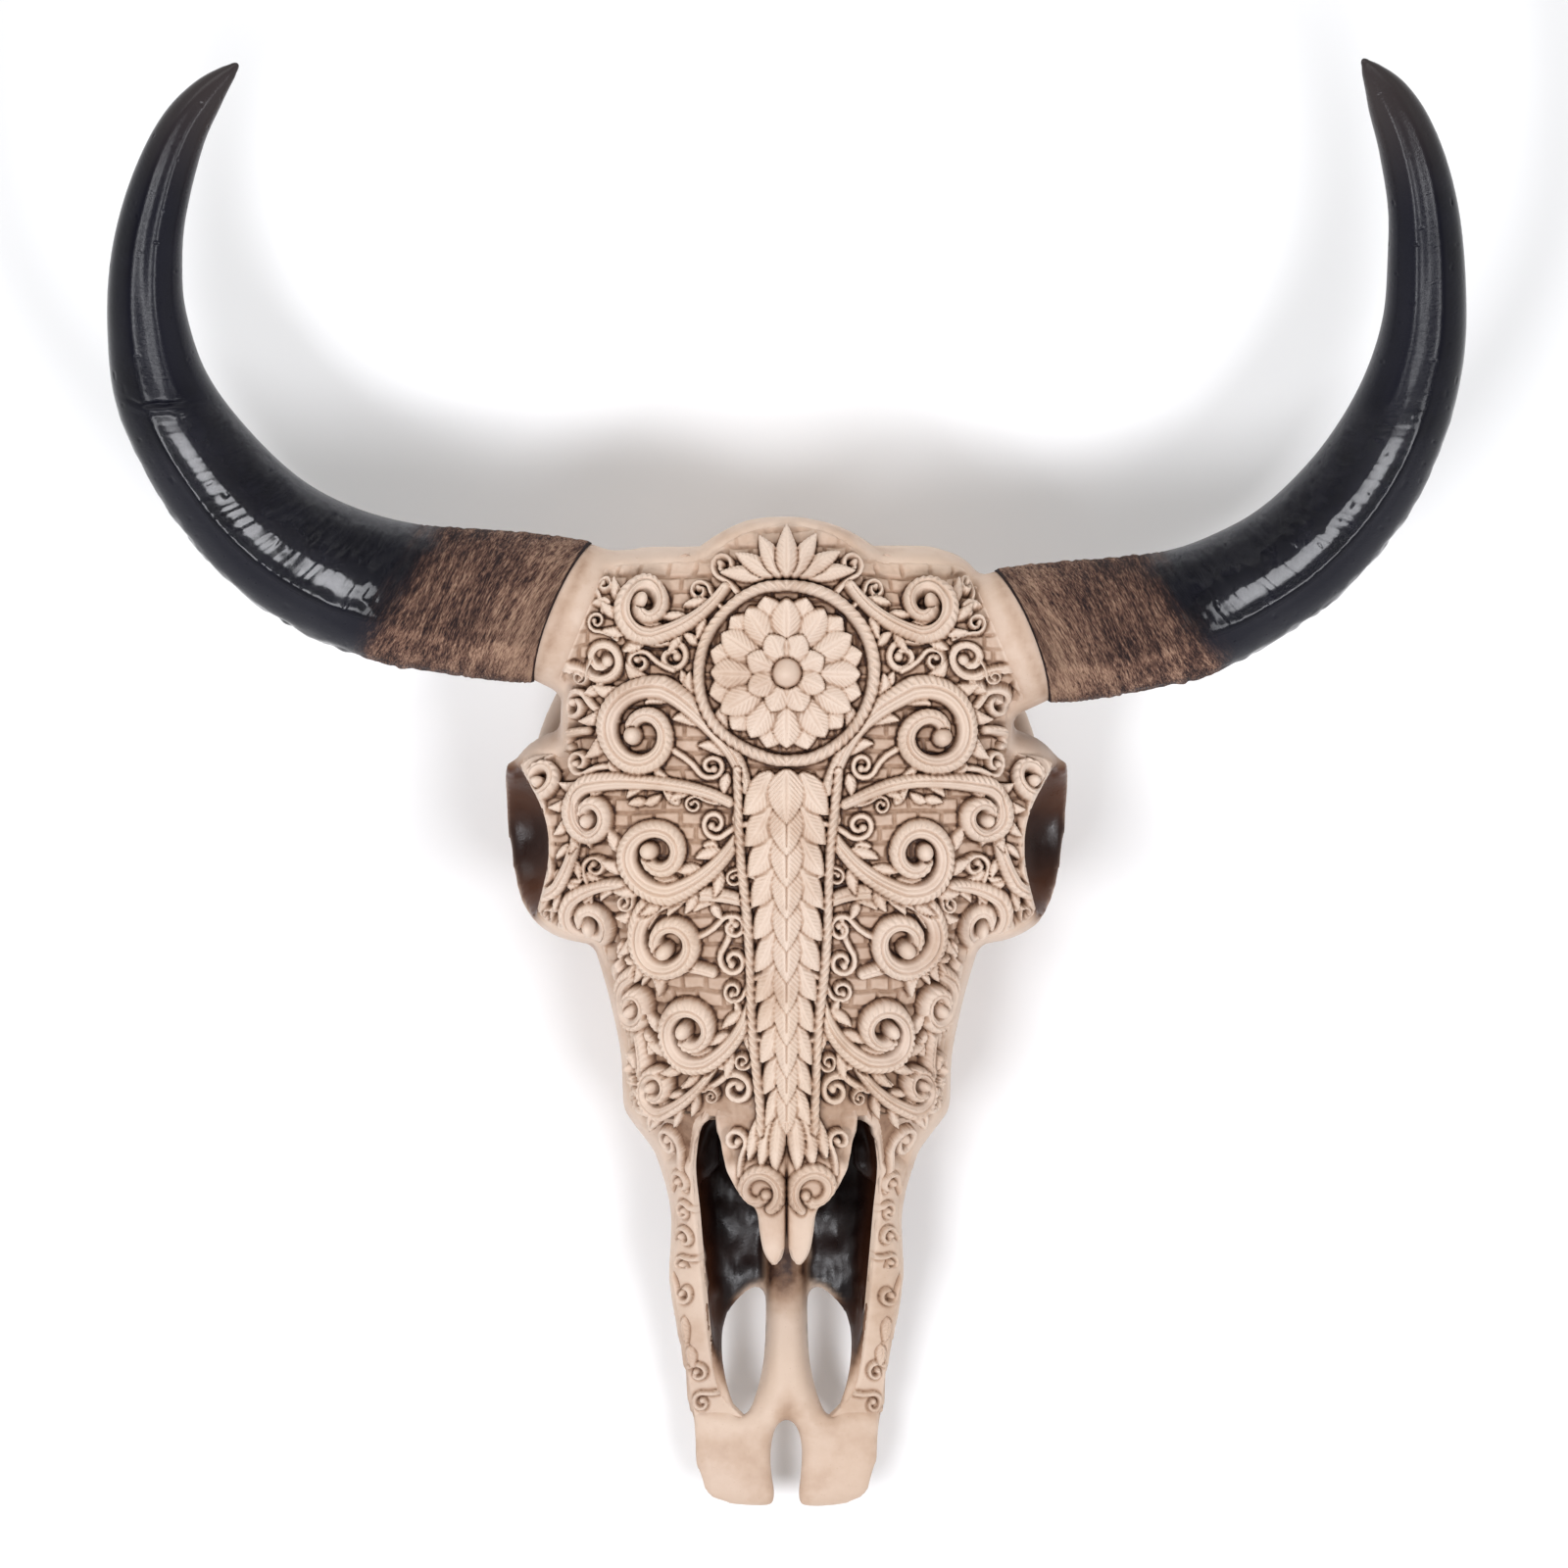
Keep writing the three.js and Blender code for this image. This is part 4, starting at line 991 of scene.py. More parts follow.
def ring(centre, direction, wide, high, count):
    """Points round a centre, square to a direction: wide across it and high along Z."""
    ahead = np.array(direction, float) / np.linalg.norm(direction)
    across = np.cross(ahead, (0, 0, 1))
    across /= np.linalg.norm(across)
    up = np.cross(across, ahead)
    angle = 2 * math.pi * np.arange(count)[:, None] / count
    return np.array(centre) + across * wide * np.cos(angle) + up * high * np.sin(angle)


def smooth_line(points, count):
    """Points evenly along a smooth curve through the given points, all their numbers alike."""
    points = np.asarray(points, float)
    points = np.vstack([2 * points[0] - points[1], points, 2 * points[-1] - points[-2]])
    at = np.linspace(0, len(points) - 3, count)
    k = np.minimum(at.astype(int), len(points) - 4)
    t = (at - k)[:, None]
    a, b, c, d = points[k], points[k + 1], points[k + 2], points[k + 3]
    steep, bent = 2 * a - 5 * b + 4 * c - d, 3 * b - 3 * c + d - a
    return 0.5 * (2 * b + (c - a) * t + steep * t ** 2 + bent * t ** 3)


def bar(name, points, count=20):
    line = smooth_line(points, count)
    ahead = np.gradient(line[:, :3], axis=0)
    return loft(name, [ring(p[:3], d, p[3], p[3], 20) for p, d in zip(line, ahead)])


def mirrored(points, side):
    return [(side * p[0], *p[1:]) for p in points]


def body_section(y):
    """A ring round the skull at y, from its width, top, waist and underside there."""
    wide, top, waist, low = (float(along(profile, y)) for profile in (HALF_WIDTH, TOP, WAIST, UNDERSIDE))
    angle = 2 * math.pi * np.arange(BODY_AROUND) / BODY_AROUND
    c, s = np.cos(angle), np.sin(angle)
    fullness = np.where(s >= 0, float(along(TOP_FULLNESS, y)), UNDERSIDE_FULLNESS)
    x = wide * np.sign(c) * np.abs(c) ** (2 / fullness)
    z = waist + np.where(s >= 0, top - waist, waist - low) * np.sign(s) * np.abs(s) ** (2 / fullness)
    return np.c_[x, np.full(BODY_AROUND, y), z]


def collar(side):
    """The neck of bone that carries a horn, five steps from each of its rings to the next."""
    sections = []
    rings = np.array(collar_rings(side), float)
    spans = len(rings) - 1
    for at in np.linspace(0, spans, 5 * spans + 1):
        k = min(int(at), spans - 1)
        x, y, face_x, face_y, wide, high, z = rings[k] + (rings[k + 1] - rings[k]) * (at - k)
        sections.append(ring((side * x, y, z), (side * face_x, face_y, 0), wide, high, 64))
    return loft("collar", sections)


def nasal_space():
    """What is cut out for the nose: roofed at the back, open above from the roof's end on."""
    sections = []
    for y in (-70, -80, -92, -105, ROOF_END_Y + 0.3, ROOF_END_Y - 0.3, *np.linspace(-121, -226, 30)):
        wide, low = float(along(OPENING, y)), float(along(OPENING_FLOOR, y))
        roofed = min(float(along(TOP, y)) - ROOF_THICKNESS, ROOF_UNDERSIDE_Z)
        high = roofed if y > ROOF_END_Y else 140
        middle = (low + min(high, float(along(TOP, y)))) / 2
        half = [(wide, high), (wide * 0.98, middle), (wide * 0.95, low + 9), (wide * 0.86, low + 4),
                (wide * 0.72, low + 1), (wide * 0.5, low)]
        outline = half + [(-x, z) for x, z in reversed(half)]
        sections.append([(x, y, z) for x, z in outline])
    return loft("nasal_space", sections)


def prism(outline):
    """An upright cutter right through the palate, smooth round its outline."""
    flat = smooth_line([*outline, outline[0]], 72)[:-1]
    return loft("prism", [[(x, y, z) for x, y in flat] for z in (-5, 60)])


def palate_bar():
    """The bar down the middle of the palate, between the slots."""
    sections = []
    for y in np.linspace(-138, -229, 26):
        half, top = float(along(PALATE_BAR, y)), float(along(PALATE_BAR_TOP, y))
        outline = [(-half, 26), (-half * 0.9, top - 3), (-half * 0.6, top - 0.8), (0, top),
                   (half * 0.6, top - 0.8), (half * 0.9, top - 3), (half, 26)]
        sections.append([(x, y, z) for x, z in outline])
    return loft("palate_bar", sections)


body_rows = np.r_[82, 81, 80, np.arange(79, -247, -2.0), -247, -248.5, -250, -251]
bone = loft("skull_bone", [body_section(y) for y in body_rows])
outer_forms = [bone, ball("poll", POLL_AT, POLL_SIZE), collar(-1), collar(1)]
for side in (-1, 1):
    at = (side * BROW_AT[0], BROW_AT[1], BROW_AT[2])
    outer_forms.append(ball("brow", at, BROW_SIZE, BROW_FULLNESS, side * BROW_LEAN))
bone = join(*outer_forms)
smooth_clay(bone, OUTER_GRAIN)
for side in (-1, 1):
    for name, at, size in (("socket", EYE_SOCKET_AT, EYE_SOCKET_SIZE), ("temple", TEMPLE_AT, TEMPLE_SIZE)):
        cut_from(bone, ball(name, (side * at[0], at[1], at[2]), size))
cut_from(bone, ball("throat", THROAT_AT, THROAT_SIZE))
cut_from(bone, bar("cord_hole", [(0, 59, 42, 9), (0, 70, 42, 9.5), (0, 96, 42, 12)]))
cut_from(bone, nasal_space())
added = [bone, palate_bar()]
for side in (-1, 1):
    added.append(bar("cheek_arch", mirrored(CHEEK_ARCH, side)))
    added.append(bar("socket_rim", mirrored(SOCKET_RIM, side), 30))
    added.append(bar("neck_process", mirrored(NECK_PROCESS, side)))
    added.append(ball("condyle", (side * CONDYLE_AT[0], *CONDYLE_AT[1:]), CONDYLE_SIZE))
    rows = []
    for z, wide, more in TOOTH_RIDGE:
        back, fore = -46 + more * 0.6, -108 - more
        outline = [(-wide, back), (-wide * 0.6, back + 6), (wide * 0.6, back + 6), (wide, back),
                   (wide, fore), (wide * 0.6, fore - 6), (-wide * 0.6, fore - 6), (-wide, fore)]
        rows.append([(side * (34 + x), y, z) for x, y in outline])
    added.append(loft("tooth_ridge", rows))
bone = join(*added)
smooth_clay(bone, BONE_GRAIN)
notch = smooth_line(NOSE_NOTCH, 24)
for outline in (PALATE_SLOT, mirrored(PALATE_SLOT, -1), [*notch, *(notch * (-1, 1))[::-1]]):
    cut_from(bone, prism(outline))
smooth_clay(bone, BONE_GRAIN, 5)
cut_flat(bone)


def lumps(points, size, seed):
    """Smooth random values from 0 to 1 in space, a lump every `size` millimetres."""
    at = points / size + 1000.5
    low = np.floor(at).astype(np.int64)
    part = at - low
    part = part * part * (3 - 2 * part)
    total = np.zeros(len(points))
    for corner in range(8):
        step = np.array([corner & 1, corner >> 1 & 1, corner >> 2 & 1])
        cell = (low + step).astype(np.uint64)
        mixed = cell[:, 0] * np.uint64(73856093) ^ cell[:, 1] * np.uint64(19349663)
        mixed = mixed ^ cell[:, 2] * np.uint64(83492791)
        mixed = (mixed + np.uint64(seed * 7919)) * np.uint64(2654435761)
        value = ((mixed >> np.uint64(13)) & np.uint64(65535)).astype(float) / 65535
        total += value * np.prod(np.where(step, part, 1 - part), axis=1)
    return total


def mesh_numbers(mesh):
    """Places, normals (both in millimetres' space) and edges of a mesh as arrays."""
    points = np.empty(len(mesh.vertices) * 3)
    mesh.vertices.foreach_get("co", points)
    normals = np.empty(len(mesh.vertices) * 3)
    mesh.vertices.foreach_get("normal", normals)
    edges = np.empty(len(mesh.edges) * 2, np.int32)
    mesh.edges.foreach_get("vertices", edges)
    return points.reshape(-1, 3) * 1000, normals.reshape(-1, 3), edges.reshape(-1, 2)


def spread(values, edges, times):
    """Values on the points of a mesh, averaged with their neighbours over and over."""
    count = np.bincount(edges.ravel(), minlength=len(values)).astype(float)
    for _ in range(times):
        total = np.zeros_like(values)
        np.add.at(total, edges[:, 0], values[edges[:, 1]])
        np.add.at(total, edges[:, 1], values[edges[:, 0]])
        around = total / np.maximum(count, 1).reshape((-1,) + (1,) * (values.ndim - 1))
        values = 0.5 * values + 0.5 * around
    return values


def hollowness(points, normals, edges, times):
    """How far each point lies under the smoothed shape round it, in millimetres."""
    return np.einsum("ij,ij->i", spread(points, edges, times) - points, normals)


def finish_bone(piece, wash, inside):
    set_numbers(piece.data, "wash", wash)
    set_numbers(piece.data, "inside", inside)
    piece.data.materials.clear()
    piece.data.materials.append(bone_finish)
    finish_piece(piece, "root", "skull")


points, normals, edges = mesh_numbers(bone.data)
front = step_up(-214, -224, points[:, 1])[:, None] * (points[:, 2:] > 2)
points = points + front * (spread(points, edges, 14) - points)
front *= step_up(-234, -242, points[:, 1])[:, None]
points = points + front * (spread(points, edges, 16) - points)
points[:, 1] -= 3.4 * step_up(-228, -249, points[:, 1])
x, y, z = np.abs(points[:, 0]), points[:, 1], points[:, 2]
left = points[:, 0] < 0
skin_z = np.where(left, face_height(x, y, -1), face_height(x, y, 1))
steep = np.clip(normals[:, 2], 0.32, 1)
cover = np.where(left, from_outline(x, y, -1, 1 / steep), from_outline(x, y, 1, 1 / steep))
cover = np.minimum(cover, (SKIN_BACK_Y - y) * 1.4)
rim_cover = np.minimum((x - along(OPENING, y)) / steep, y - RIM_END_Y)
cover = np.where(y < ROOF_END_Y, np.minimum(cover, rim_cover), cover)
on_face = (np.abs(z - skin_z) < 6.5) & (normals[:, 2] > 0.02)
above_skin = np.clip((z - skin_z) * normals[:, 2], -1.5, 5)
sink = np.where(on_face, (4.3 + above_skin) * step_up(0.2, 4.2, cover), 0)
sink = np.where(y < ROOF_END_Y, sink * 0.6, sink)
sink = np.where(on_face, spread(sink, edges, 2), 0)

socket = [(points[:, 0] * np.where(left, -1, 1) - EYE_SOCKET_AT[0]) / EYE_SOCKET_SIZE[0],
          (y - EYE_SOCKET_AT[1]) / EYE_SOCKET_SIZE[1], (z - EYE_SOCKET_AT[2]) / EYE_SOCKET_SIZE[2]]
socket_reach = np.sqrt(sum(part ** 2 for part in socket))
in_socket = 1 - step_up(1.03, 1.09, socket_reach)
wide = along(OPENING, y)
rim_z = np.where(y > ROOF_END_Y, ROOF_UNDERSIDE_Z + 5, body_height(wide, y))
in_nose = (1 - step_up(wide + 0.8, wide + 2.4, x)) * (1 - step_up(rim_z - 5, rim_z - 1.0, z))
in_nose *= step_up(along(OPENING_FLOOR, y) - 4, along(OPENING_FLOOR, y) - 1, z) * step_up(-208, -188, y)
in_nose *= 1 - step_up(-72, -66, y)
on_bar = (1 - step_up(7.5, 10, x)) * (1 - step_up(-163, -157, y)) * step_up(31, 33, z)
in_nose *= 1 - on_bar
inside = np.clip(np.maximum(in_socket, in_nose), 0, 1)
bark = lumps(points * (1, 1, 0.35), 7, 1) + 0.5 * lumps(points * (1, 1, 0.4), 3.2, 2)
fibrous = lumps(points * (1, 0.28, 1), 1.8, 7) - 0.5
push = (inside - 0.7 * in_socket) * ((bark - 0.75) * 1.9 + fibrous * 0.9)
undulation = (lumps(points, 26, 3) - 0.5) * 1.2 + (lumps(points, 9, 4) - 0.5) * 0.4
plain = 1 - np.maximum(inside, np.where(on_face & (cover > -1), 1, 0))
push += undulation * plain * (z > 3)
slot_line = smooth_line([*PALATE_SLOT, PALATE_SLOT[0]], 72)
low_front = (y < -165) & (x < 30)
from_slot = np.full(len(points), 99.0)
from_slot[low_front] = np.sqrt(
    (x[low_front, None] - slot_line[None, :, 0]) ** 2 + (y[low_front, None] - slot_line[None, :, 1]) ** 2
).min(1)
push *= step_up(0.5, 6, from_slot)
inside *= step_up(0.1, 1.7, from_slot)
points = points - normals * (sink - push)[:, None]
bone.data.vertices.foreach_set("co", (points * 0.001).ravel())
bone.data.update()
points, normals, edges = mesh_numbers(bone.data)
wash = np.clip(hollowness(points, normals, edges, 14) * 0.42, 0, 0.75)
streaks = lumps(points * (1, 0.12, 1), 1.6, 6)
wash += 1.1 * on_bar * step_up(-188, -166, y) * (0.45 + 0.9 * streaks)
wash += 0.4 * np.exp(-(x / 2.6) ** 2 - ((y + 219) / 5) ** 2) * (z > 25)
beside_slots = (1 - step_up(wide - 1, wide + 3, x)) * step_up(9, 13, x) * (y < -180)
wash += 0.95 * beside_slots * step_up(-216, -192, y)
wash += np.where(socket_reach < 1.3, 0.45 * (1 - step_up(1.06, 1.22, socket_reach)), 0)
for side in (-1, 1):
    seam_x, seam_y = HORN_START[side][:2]
    beyond = (points[:, 0] - seam_x) * SEAM_FACING[side][0] + (y - seam_y) * SEAM_FACING[side][1]
    at_neck = (beyond > -22) & (points[:, 0] * side > 40) & (z > 60)
    wash += at_neck * (0.5 * np.exp(-(beyond / 0.8) ** 2) + 0.05 * step_up(-20, -2, beyond))
# Faces that turn downwards are darkened as painted shade under the overhangs; the whole bone, and the front
# lobes a little more, get an even brown tone.
wash += 0.25 * step_up(0.1, 0.8, -normals[:, 2]) + 0.06 + 0.06 * step_up(-222, -232, y)
wash = spread(np.clip(wash, 0, 1), edges, 3)
# The lacquer is painted darker in the middle and on the deep wall of each socket, and lighter red-brown on
# the nose's walls near the rims: painted shade.
middle_of_socket = step_up(0.3, 1.0, 1 - np.abs(socket[1])) * step_up(-0.9, -0.4, socket[0])
lacquer_red_and_painted_shade = (0.95 - 0.7 * middle_of_socket) * (0.25 + 0.75 * step_up(-0.95, -0.6, socket[0]))
lacquer_red_and_painted_shade = np.where(socket_reach < 1.3, lacquer_red_and_painted_shade, 0)
lacquer_red_and_painted_shade = np.maximum(lacquer_red_and_painted_shade, 0.8 * np.maximum(step_up(-14, -3, z - rim_z), step_up(-7, 0, x - wide)) * in_nose)
set_numbers(bone.data, "lacquer_red_and_painted_shade", spread(lacquer_red_and_painted_shade, edges, 2))
choose(bone)
bpy.ops.object.shade_smooth()
bone.name = bone.data.name = "skull_bone"
finish_bone(bone, wash, spread(inside, edges, 1))


# Cheek teeth: two rows of six under the jaw's ridges, each tooth of two lobes with a
# fold between them, cast with the skull. Their flat crowns are what the skull lies on.
TOOTH_ROW_X, TOOTH_FROM, TOOTH_TO = 35, -36, -118
TOOTH_HALF, TEETH, TOOTH_HEIGHT, TOOTH_GRAIN = 7.2, 6, 19, 0.0007

for side, word in ((-1, "left"), (1, "right")):
    lobes = []
    pitch = (TOOTH_TO - TOOTH_FROM) / (TEETH * 2)
    for k in range(TEETH * 2):
        middle = TOOTH_FROM + pitch * (k + 0.5)
        slant = 0.35 if k % 2 else -0.35
        sections = []
        for z, grown in ((-1, 0.97), (1.2, 1.0), (6, 0.98), (12, 0.93), (TOOTH_HEIGHT, 0.86)):
            angle = 2 * math.pi * np.arange(24) / 24
            c, s = np.cos(angle), np.sin(angle)
            x = TOOTH_HALF * grown * np.sign(c) * np.abs(c) ** 0.7
            x += 0.35 * np.cos(angle * 6 + k)
            y = abs(pitch) * 0.56 * grown * np.sign(s) * np.abs(s) ** 0.8 + slant
            sections.append(np.c_[side * (TOOTH_ROW_X + x), middle + y, np.full(24, z)])
        lobes.append(loft("lobe", sections))
    teeth = join(*lobes)
    smooth_clay(teeth, TOOTH_GRAIN, 3)
    cut_flat(teeth)
    teeth.name = teeth.data.name = f"teeth_{word}"
    points, normals, edges = mesh_numbers(teeth.data)
    # The teeth are darker in their hollows, where the wash lies, and towards their tops under the jaw, which
    # is painted shade.
    stain = np.clip(hollowness(points, normals, edges, 12) * 0.9, 0, 0.7)
    stain += 0.35 * step_up(9, 18, points[:, 2])
    choose(teeth)
    bpy.ops.object.shade_smooth_by_angle(angle=math.radians(50))
    finish_bone(teeth, np.clip(stain, 0, 1), np.zeros(len(points)))


# Horns: each one casting, pushed onto the collar. The root is worked like matted hair and
# dry-brushed brown; from there to the tip it is black under a gloss lacquer, with fine
# ripples across it, pits, and two soft ridges that run to the tip.
HORN_PATHS = {
    -1: [
        (-77.5, 59.2, 95, 26.4), (-104, 62, 93.5, 26.2), (-132, 65.5, 91.5, 24.8), (-159.5, 74.2, 90.5, 23.6),
        (-183, 89.5, 91, 21.6), (-203, 112.5, 94, 19), (-216.5, 136, 99, 16.8), (-221.4, 160, 105, 14.1),
        (-221.6, 183, 111, 12.2), (-216.8, 205.4, 117, 10.8), (-209.6, 224.4, 122.5, 8.9),
        (-200.6, 237.6, 126, 6.3), (-189.6, 248.6, 128.5, 1.4),
    ],
    1: [
        (81.4, 51, 95, 24.9), (108, 53.6, 93.5, 24.4), (136.5, 58.5, 91.5, 22.8), (159.8, 68.3, 90.5, 21.4),
        (179, 81, 91, 20.4), (197.2, 100.5, 94, 19.2), (210.5, 122.7, 98, 17.7), (218.9, 146.5, 103, 15.8),
        (221.5, 172, 109, 13.8), (220.3, 197.9, 115, 12.3), (215.4, 220, 121, 10.7), (208, 237, 125.5, 7.9),
        (199, 250.2, 128.5, 1.4),
    ],
}
HORN_RINGS, TIP_RINGS, HORN_AROUND = 700, 20, 132
HAIR_END, HORN_TIP = 56, 8
SEAM_BOW = 4.5
CREASE_AT = {-1: 168, 1: None}
# Turns round the horn: where the flat on its front ends, and where the two ridges run.
FLAT_EDGE, RIDGES = 2.06, (1.98, 1.33)


horn_finish, tree, shader = new_material("lacquered_horn")
hair = attribute_of(tree, "hair")
round_horn = attribute_of(tree, "strand_way", "Vector")
strand = noise_of(tree, 1.5, 4, 0.5, round_horn)
fine_strand = noise_of(tree, 4.5, 3, 0.5, round_horn)
black = ramp_of(tree, noise_of(tree, 90, 4), (0.3, (0.002, 0.002, 0.004)), (0.7, (0.006, 0.006, 0.011)))
# Where the horn is satin it is rougher, and its black is painted lighter and bluer there: a painted sheen.
black = mix_of(tree, attribute_of(tree, "satin_and_painted_sheen"), black, (0.009, 0.009, 0.015))
black = mix_of(tree, attribute_of(tree, "worn"), black, (0.050, 0.040, 0.038))
tone = plus(tree, plus(tree, strand, times(tree, fine_strand, 1.15)), -0.5)
tone = plus(tree, tone, attribute_of(tree, "streak"))
brown = ramp_of(
    tree, tone, (0.26, (0.024, 0.014, 0.014)), (0.42, (0.085, 0.044, 0.034)), (0.60, (0.21, 0.115, 0.080)),
    (0.82, (0.40, 0.255, 0.175)),
)
tree.links.new(mix_of(tree, hair, black, brown), shader.inputs["Base Color"])
gloss = range_of(tree, noise_of(tree, 350, 4), 0.3, 0.7, 0.07, 0.15)
gloss = plus(tree, gloss, times(tree, hair, 0.5))
gloss = plus(tree, gloss, times(tree, attribute_of(tree, "satin_and_painted_sheen"), 0.2))
tree.links.new(gloss, shader.inputs["Roughness"])
depth = times(tree, plus(tree, strand, fine_strand), attribute_of(tree, "ripple"))
rippled = bump_of(tree, depth, 0.9, 0.0011)
pitted = bump_of(tree, noise_of(tree, 900, 3, 0.6), 0.12, 0.0003, rippled)
tree.links.new(pitted, shader.inputs["Normal"])
tree.links.new(attribute_of(tree, "coat"), shader.inputs["Coat Weight"])
shader.inputs["Specular IOR Level"].default_value = 0.14
shader.inputs["Coat Roughness"].default_value = 0.13

for side, word in ((-1, "left"), (1, "right")):
    line = smooth_line(HORN_PATHS[side], 2400)
    travelled = np.r_[0, np.cumsum(np.linalg.norm(np.diff(line[:, :3], axis=0), axis=1))]
    total = travelled[-1]
    tip_start = total - HORN_TIP
    last_rings = tip_start + HORN_TIP * np.sin(np.linspace(0, math.pi / 2, TIP_RINGS + 1)[1:])
    reach = np.r_[np.linspace(0, tip_start, HORN_RINGS - TIP_RINGS), last_rings]
    line = np.array([np.interp(reach, travelled, column) for column in line.T]).T
    ahead = np.gradient(line[:, :3], reach, axis=0)
    ahead /= np.linalg.norm(ahead, axis=1, keepdims=True)
    facing = np.array((*SEAM_FACING[side], 0.02))
    facing /= np.linalg.norm(facing)
    turn_in = np.clip(1 - reach / total * 12, 0, 1)[:, None]
    ahead = ahead * (1 - turn_in) + facing * turn_in
    ahead /= np.linalg.norm(ahead, axis=1, keepdims=True)
    across = np.cross(ahead, (0, 0, 1))
    across /= np.linalg.norm(across, axis=1, keepdims=True)
    up = np.cross(across, ahead)
    tip = np.sqrt(np.clip(1 - np.clip((reach - total + 5) / 5, 0, 1) ** 2, 0, 1))
    radius = np.maximum(line[:, 3], 2.2 * (reach > total - 12)) * tip
    angle = 2 * math.pi * np.arange(HORN_AROUND) / HORN_AROUND
    late = SEAM_BOW * np.clip(np.sin(angle), 0, 1) ** 1.5 * (1 - np.clip(reach / 14, 0, 1)[:, None]) ** 2
    at, angle = (part.ravel() for part in np.meshgrid(reach, angle, indexing="ij"))
    girth = np.repeat(line[:, 3], HORN_AROUND)
    out = np.repeat(across, HORN_AROUND, axis=0) * np.cos(angle)[:, None]
    out += np.repeat(up, HORN_AROUND, axis=0) * np.sin(angle)[:, None] * 0.97
    surface = np.repeat(line[:, :3], HORN_AROUND, axis=0) + out * np.repeat(radius, HORN_AROUND)[:, None]
    surface += np.repeat(ahead, HORN_AROUND, axis=0) * late.reshape(-1, 1)

    # turn is 0 on the inside of the horn's bend, a quarter turn on the front, a half on the outside.
    turn = np.mod(angle if side < 0 else math.pi - angle, 2 * math.pi)

    def band(middle, half, turn=turn):
        away = np.mod(turn - middle + math.pi, 2 * math.pi) - math.pi
        return np.exp(-(away / half) ** 2)

    slant = at + 0.33 * girth * np.cos(turn)
    round_way = np.c_[girth * np.cos(turn), girth * np.sin(turn), at]
    strand_way = np.c_[girth * np.cos(turn) * 0.14, girth * np.sin(turn) * 0.14, slant]
    ragged = at + 5 * np.cos(turn) + (lumps(round_way, 13, 21) - 0.5) * 12
    ragged += (lumps(strand_way * (1, 1, 0.5), 3, 22) - 0.5) * 12
    hair = 1 - step_up(HAIR_END - 7, HAIR_END + 7, ragged)
    fading = step_up(115, 185, at + (lumps(round_way, 16, 31) - 0.5) * 60)
    worked = step_up(HAIR_END - 12, HAIR_END, ragged) * (1 - fading)
    front = between(0.35, 0.9, FLAT_EDGE - 0.08, FLAT_EDGE + 0.05, turn)
    low_band = between(FLAT_EDGE - 0.05, FLAT_EDGE + 0.1, 2.7, 2.95, turn)
    fibres = lumps(strand_way, 1.25, 23) - 0.5
    bumps = lumps(round_way, 3.6, 26) - 0.5
    coarse = lumps(round_way, 6.5, 32) - 0.5
    swell = lumps(round_way, 19, 27) - 0.5
    height = swell * 0.8 + hair * (fibres * 0.8 + coarse * 0.5) * (1 - 0.6 * low_band)
    worked_length = between(54, 78, 145, 185, at)
    lit = worked_length * band(FLAT_EDGE - 0.33, 0.42)
    calm = 1 - 0.92 * lit
    height += worked * front * (fibres * 0.5 * calm ** 0.5 + (bumps * 0.7 + coarse * 0.5) * calm)
    facet = np.clip(1 - ((turn - FLAT_EDGE + 0.27) / 0.27) ** 2, 0, 1)
    height += worked_length * (0.75 * band(FLAT_EDGE - 0.02, 0.13) - 0.030 * girth * facet)
    height -= 0.4 * band(FLAT_EDGE + 0.42, 0.25) * worked_length
    ridge_on = between(150, 185, total - 30, total - 4, at) * np.clip(girth / 14, 0, 1)
    height += 0.8 * ridge_on * (band(RIDGES[0], 0.25) + band(RIDGES[1], 0.22))
    height -= 0.3 * ridge_on * band(sum(RIDGES) / 2, 0.25)
    if CREASE_AT[side]:
        path = CREASE_AT[side] + 7 * (turn - 1.6) + (lumps(round_way, 5, 28) - 0.5) * 3
        height -= 1.5 * np.exp(-((at - path) / 0.9) ** 2) * band(1.65, 0.5)
        height += 0.5 * np.exp(-((at - path + 2.2) / 1.3) ** 2) * band(1.65, 0.5)
    pits = np.clip(lumps(round_way, 1.9, 29) - 0.88, 0, 1) * 8 * (1 - hair)
    height -= pits * 0.5
    outline = band(math.pi + 0.15, 0.35) * between(20, 50, 120, 190, at)
    height += outline * (bumps * 1.6 + coarse * 1.2)
    ends = np.minimum(step_up(0, 1.5, at), step_up(0, 12, total - at) * 0.9 + 0.1)
    edge_in = 0.35 * (1 - step_up(0, 1.2, at))
    surface += out * (height * ends - edge_in)[:, None]
    sections = surface.reshape(HORN_RINGS, HORN_AROUND, 3)[:-1]
    horn = loft(f"horn_{word}_lacquered", sections)
    count = len(horn.data.vertices)
    tan = (lumps(round_way, 8, 30) - 0.5) * 0.12 + (lumps(strand_way, 2.6, 34) - 0.5) * 0.24 - 0.0036 * at
    tan += 0.14 * low_band * lumps(round_way, 5, 33) + 0.07 * (1 - step_up(2, 16, ragged - 5))
    tan -= 0.6 * (1 - step_up(0.5, 1.4, at))
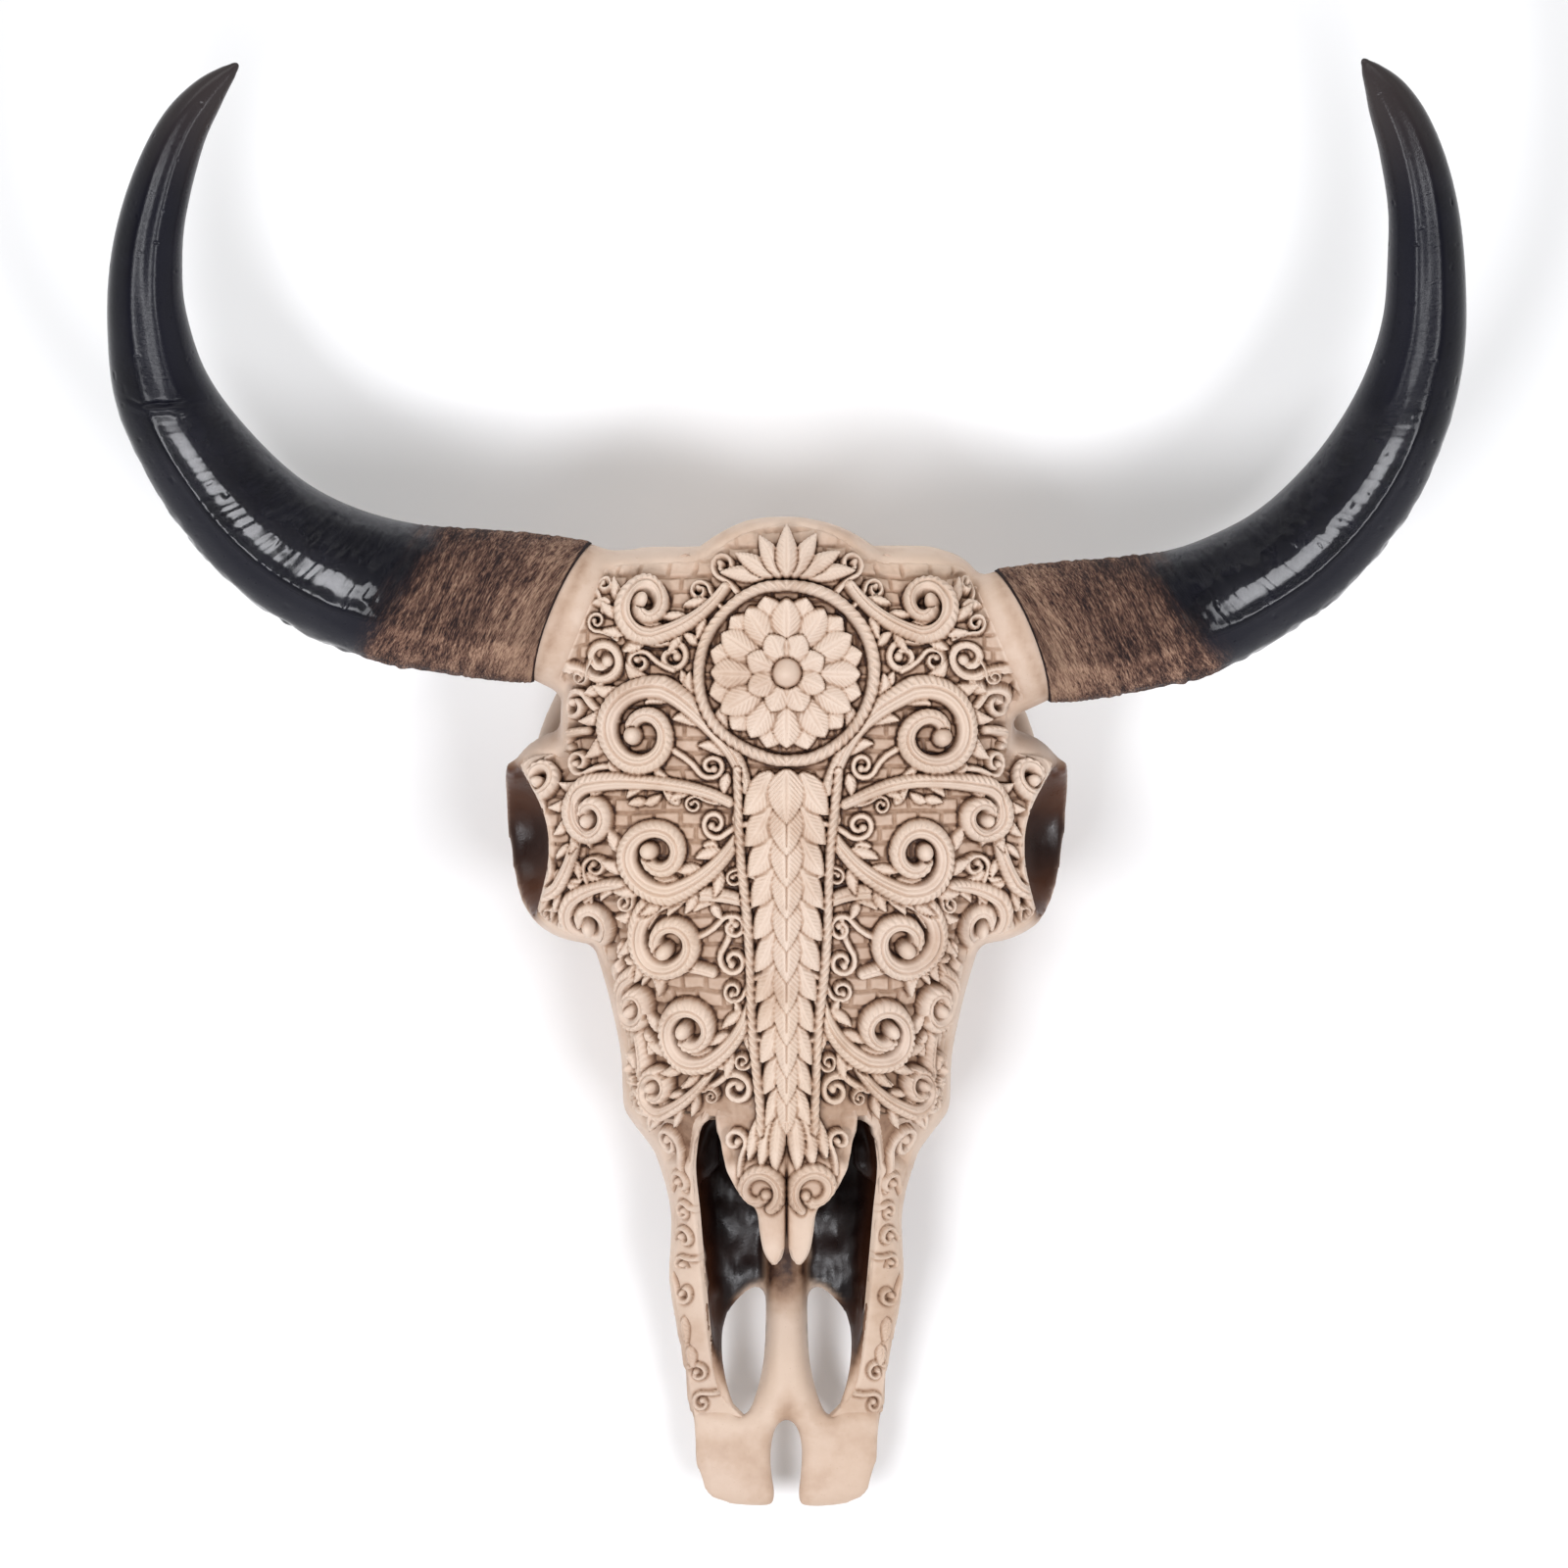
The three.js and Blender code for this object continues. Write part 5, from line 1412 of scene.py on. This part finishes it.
    # Satin places (the lower band, the inner edge and the upper part) are rougher and painted a lighter
    # slate, which is painted sheen.
    satin_and_painted_sheen = np.maximum(low_band * (1 - step_up(140, 175, at)), band(0.1, 0.7))
    satin_and_painted_sheen = np.maximum(satin_and_painted_sheen, 0.8 * step_up(155, 185, at) * band(1.35, 0.75))
    for name, values in (
        ("hair", hair), ("streak", tan + fibres * 0.15), ("satin_and_painted_sheen", satin_and_painted_sheen),
        ("worn", 0.7 * step_up(total - 60, total - 5, at)), ("coat", (1 - hair) * (0.04 + 0.3 * lit)),
        ("ripple", np.maximum(hair * (1 - 0.55 * low_band), worked * front * 0.75 * calm) + 0.06),
    ):
        set_numbers(horn.data, name, values[:count])
    layer = horn.data.attributes.new("strand_way", "FLOAT_VECTOR", "POINT")
    layer.data.foreach_set("vector", np.ascontiguousarray(strand_way[:count], dtype=np.float32).ravel())
    horn.data.materials.append(horn_finish)
    choose(horn)
    bpy.ops.object.shade_smooth_by_angle(angle=math.radians(60))
    finish_piece(horn, "root", f"horn_{word}")


# The table: a plain pale floor, soft lights, and a camera that looks straight down on the
# face with the frame of the photograph.
MILLIMETRES_PER_PIXEL = 0.34
FRAME_AT = (-0.9, -0.35, 92)
CAMERA_HEIGHT, SENSOR = 9.0, 36
LIGHTS_AIM, COOL = Vector((0, 0, 0.05)), (0.95, 0.96, 1.0)

deselect_all()
bpy.ops.mesh.primitive_plane_add(size=30, location=(0, 0, -0.0002))
floor = bpy.context.object
floor.name = "floor"
floor_finish, tree, shader = new_material("pale_floor")
shader.inputs["Base Color"].default_value = (0.94, 0.94, 0.94, 1)
shader.inputs["Roughness"].default_value = 0.9
shader.inputs["Specular IOR Level"].default_value = 0.1
floor.data.materials.append(floor_finish)


def soft_light(name, at, size, power, tint=(1, 1, 1)):
    light = bpy.data.lights.new(name, "AREA")
    light.shape = "RECTANGLE"
    light.size, light.size_y = size
    light.energy = power
    light.color = tint
    lamp = bpy.data.objects.new(name, light)
    bpy.context.collection.objects.link(lamp)
    lamp.location = at
    lamp.rotation_euler = (LIGHTS_AIM - Vector(at)).to_track_quat("-Z", "Y").to_euler()


soft_light("left_box", (-0.56, -0.58, 1.80), (0.66, 0.33), 18.5, COOL)
soft_light("right_box", (0.62, -0.56, 1.75), (0.66, 0.33), 15.5, COOL)
soft_light("window", (-0.5, 1.6, 1.5), (2.4, 0.9), 17)

# The studio round the table is bright at the sides and darker overhead.
world = bpy.data.worlds.new("studio")
bpy.context.scene.world = world
world.use_nodes = True
tree = world.node_tree
background = tree.nodes["Background"]
background.inputs["Color"].default_value = (1, 1, 1, 1)
parts = tree.nodes.new("ShaderNodeSeparateXYZ")
tree.links.new(tree.nodes.new("ShaderNodeTexCoord").outputs["Generated"], parts.inputs["Vector"])
tree.links.new(range_of(tree, parts.outputs["Z"], 0.25, 0.8, 0.9, 0.18), background.inputs["Strength"])
bpy.context.scene.view_settings.view_transform = "Standard"

lens = bpy.data.cameras.new("camera")
camera = bpy.data.objects.new("camera", lens)
bpy.context.collection.objects.link(camera)
camera.location = (FRAME_AT[0] * 0.001, FRAME_AT[1] * 0.001, CAMERA_HEIGHT)
across = MILLIMETRES_PER_PIXEL * 1600 * 0.001
lens.sensor_fit = "HORIZONTAL"
lens.sensor_width = SENSOR
lens.lens = SENSOR * (CAMERA_HEIGHT - FRAME_AT[2] * 0.001) / across
lens.clip_end = 20
bpy.context.scene.camera = camera
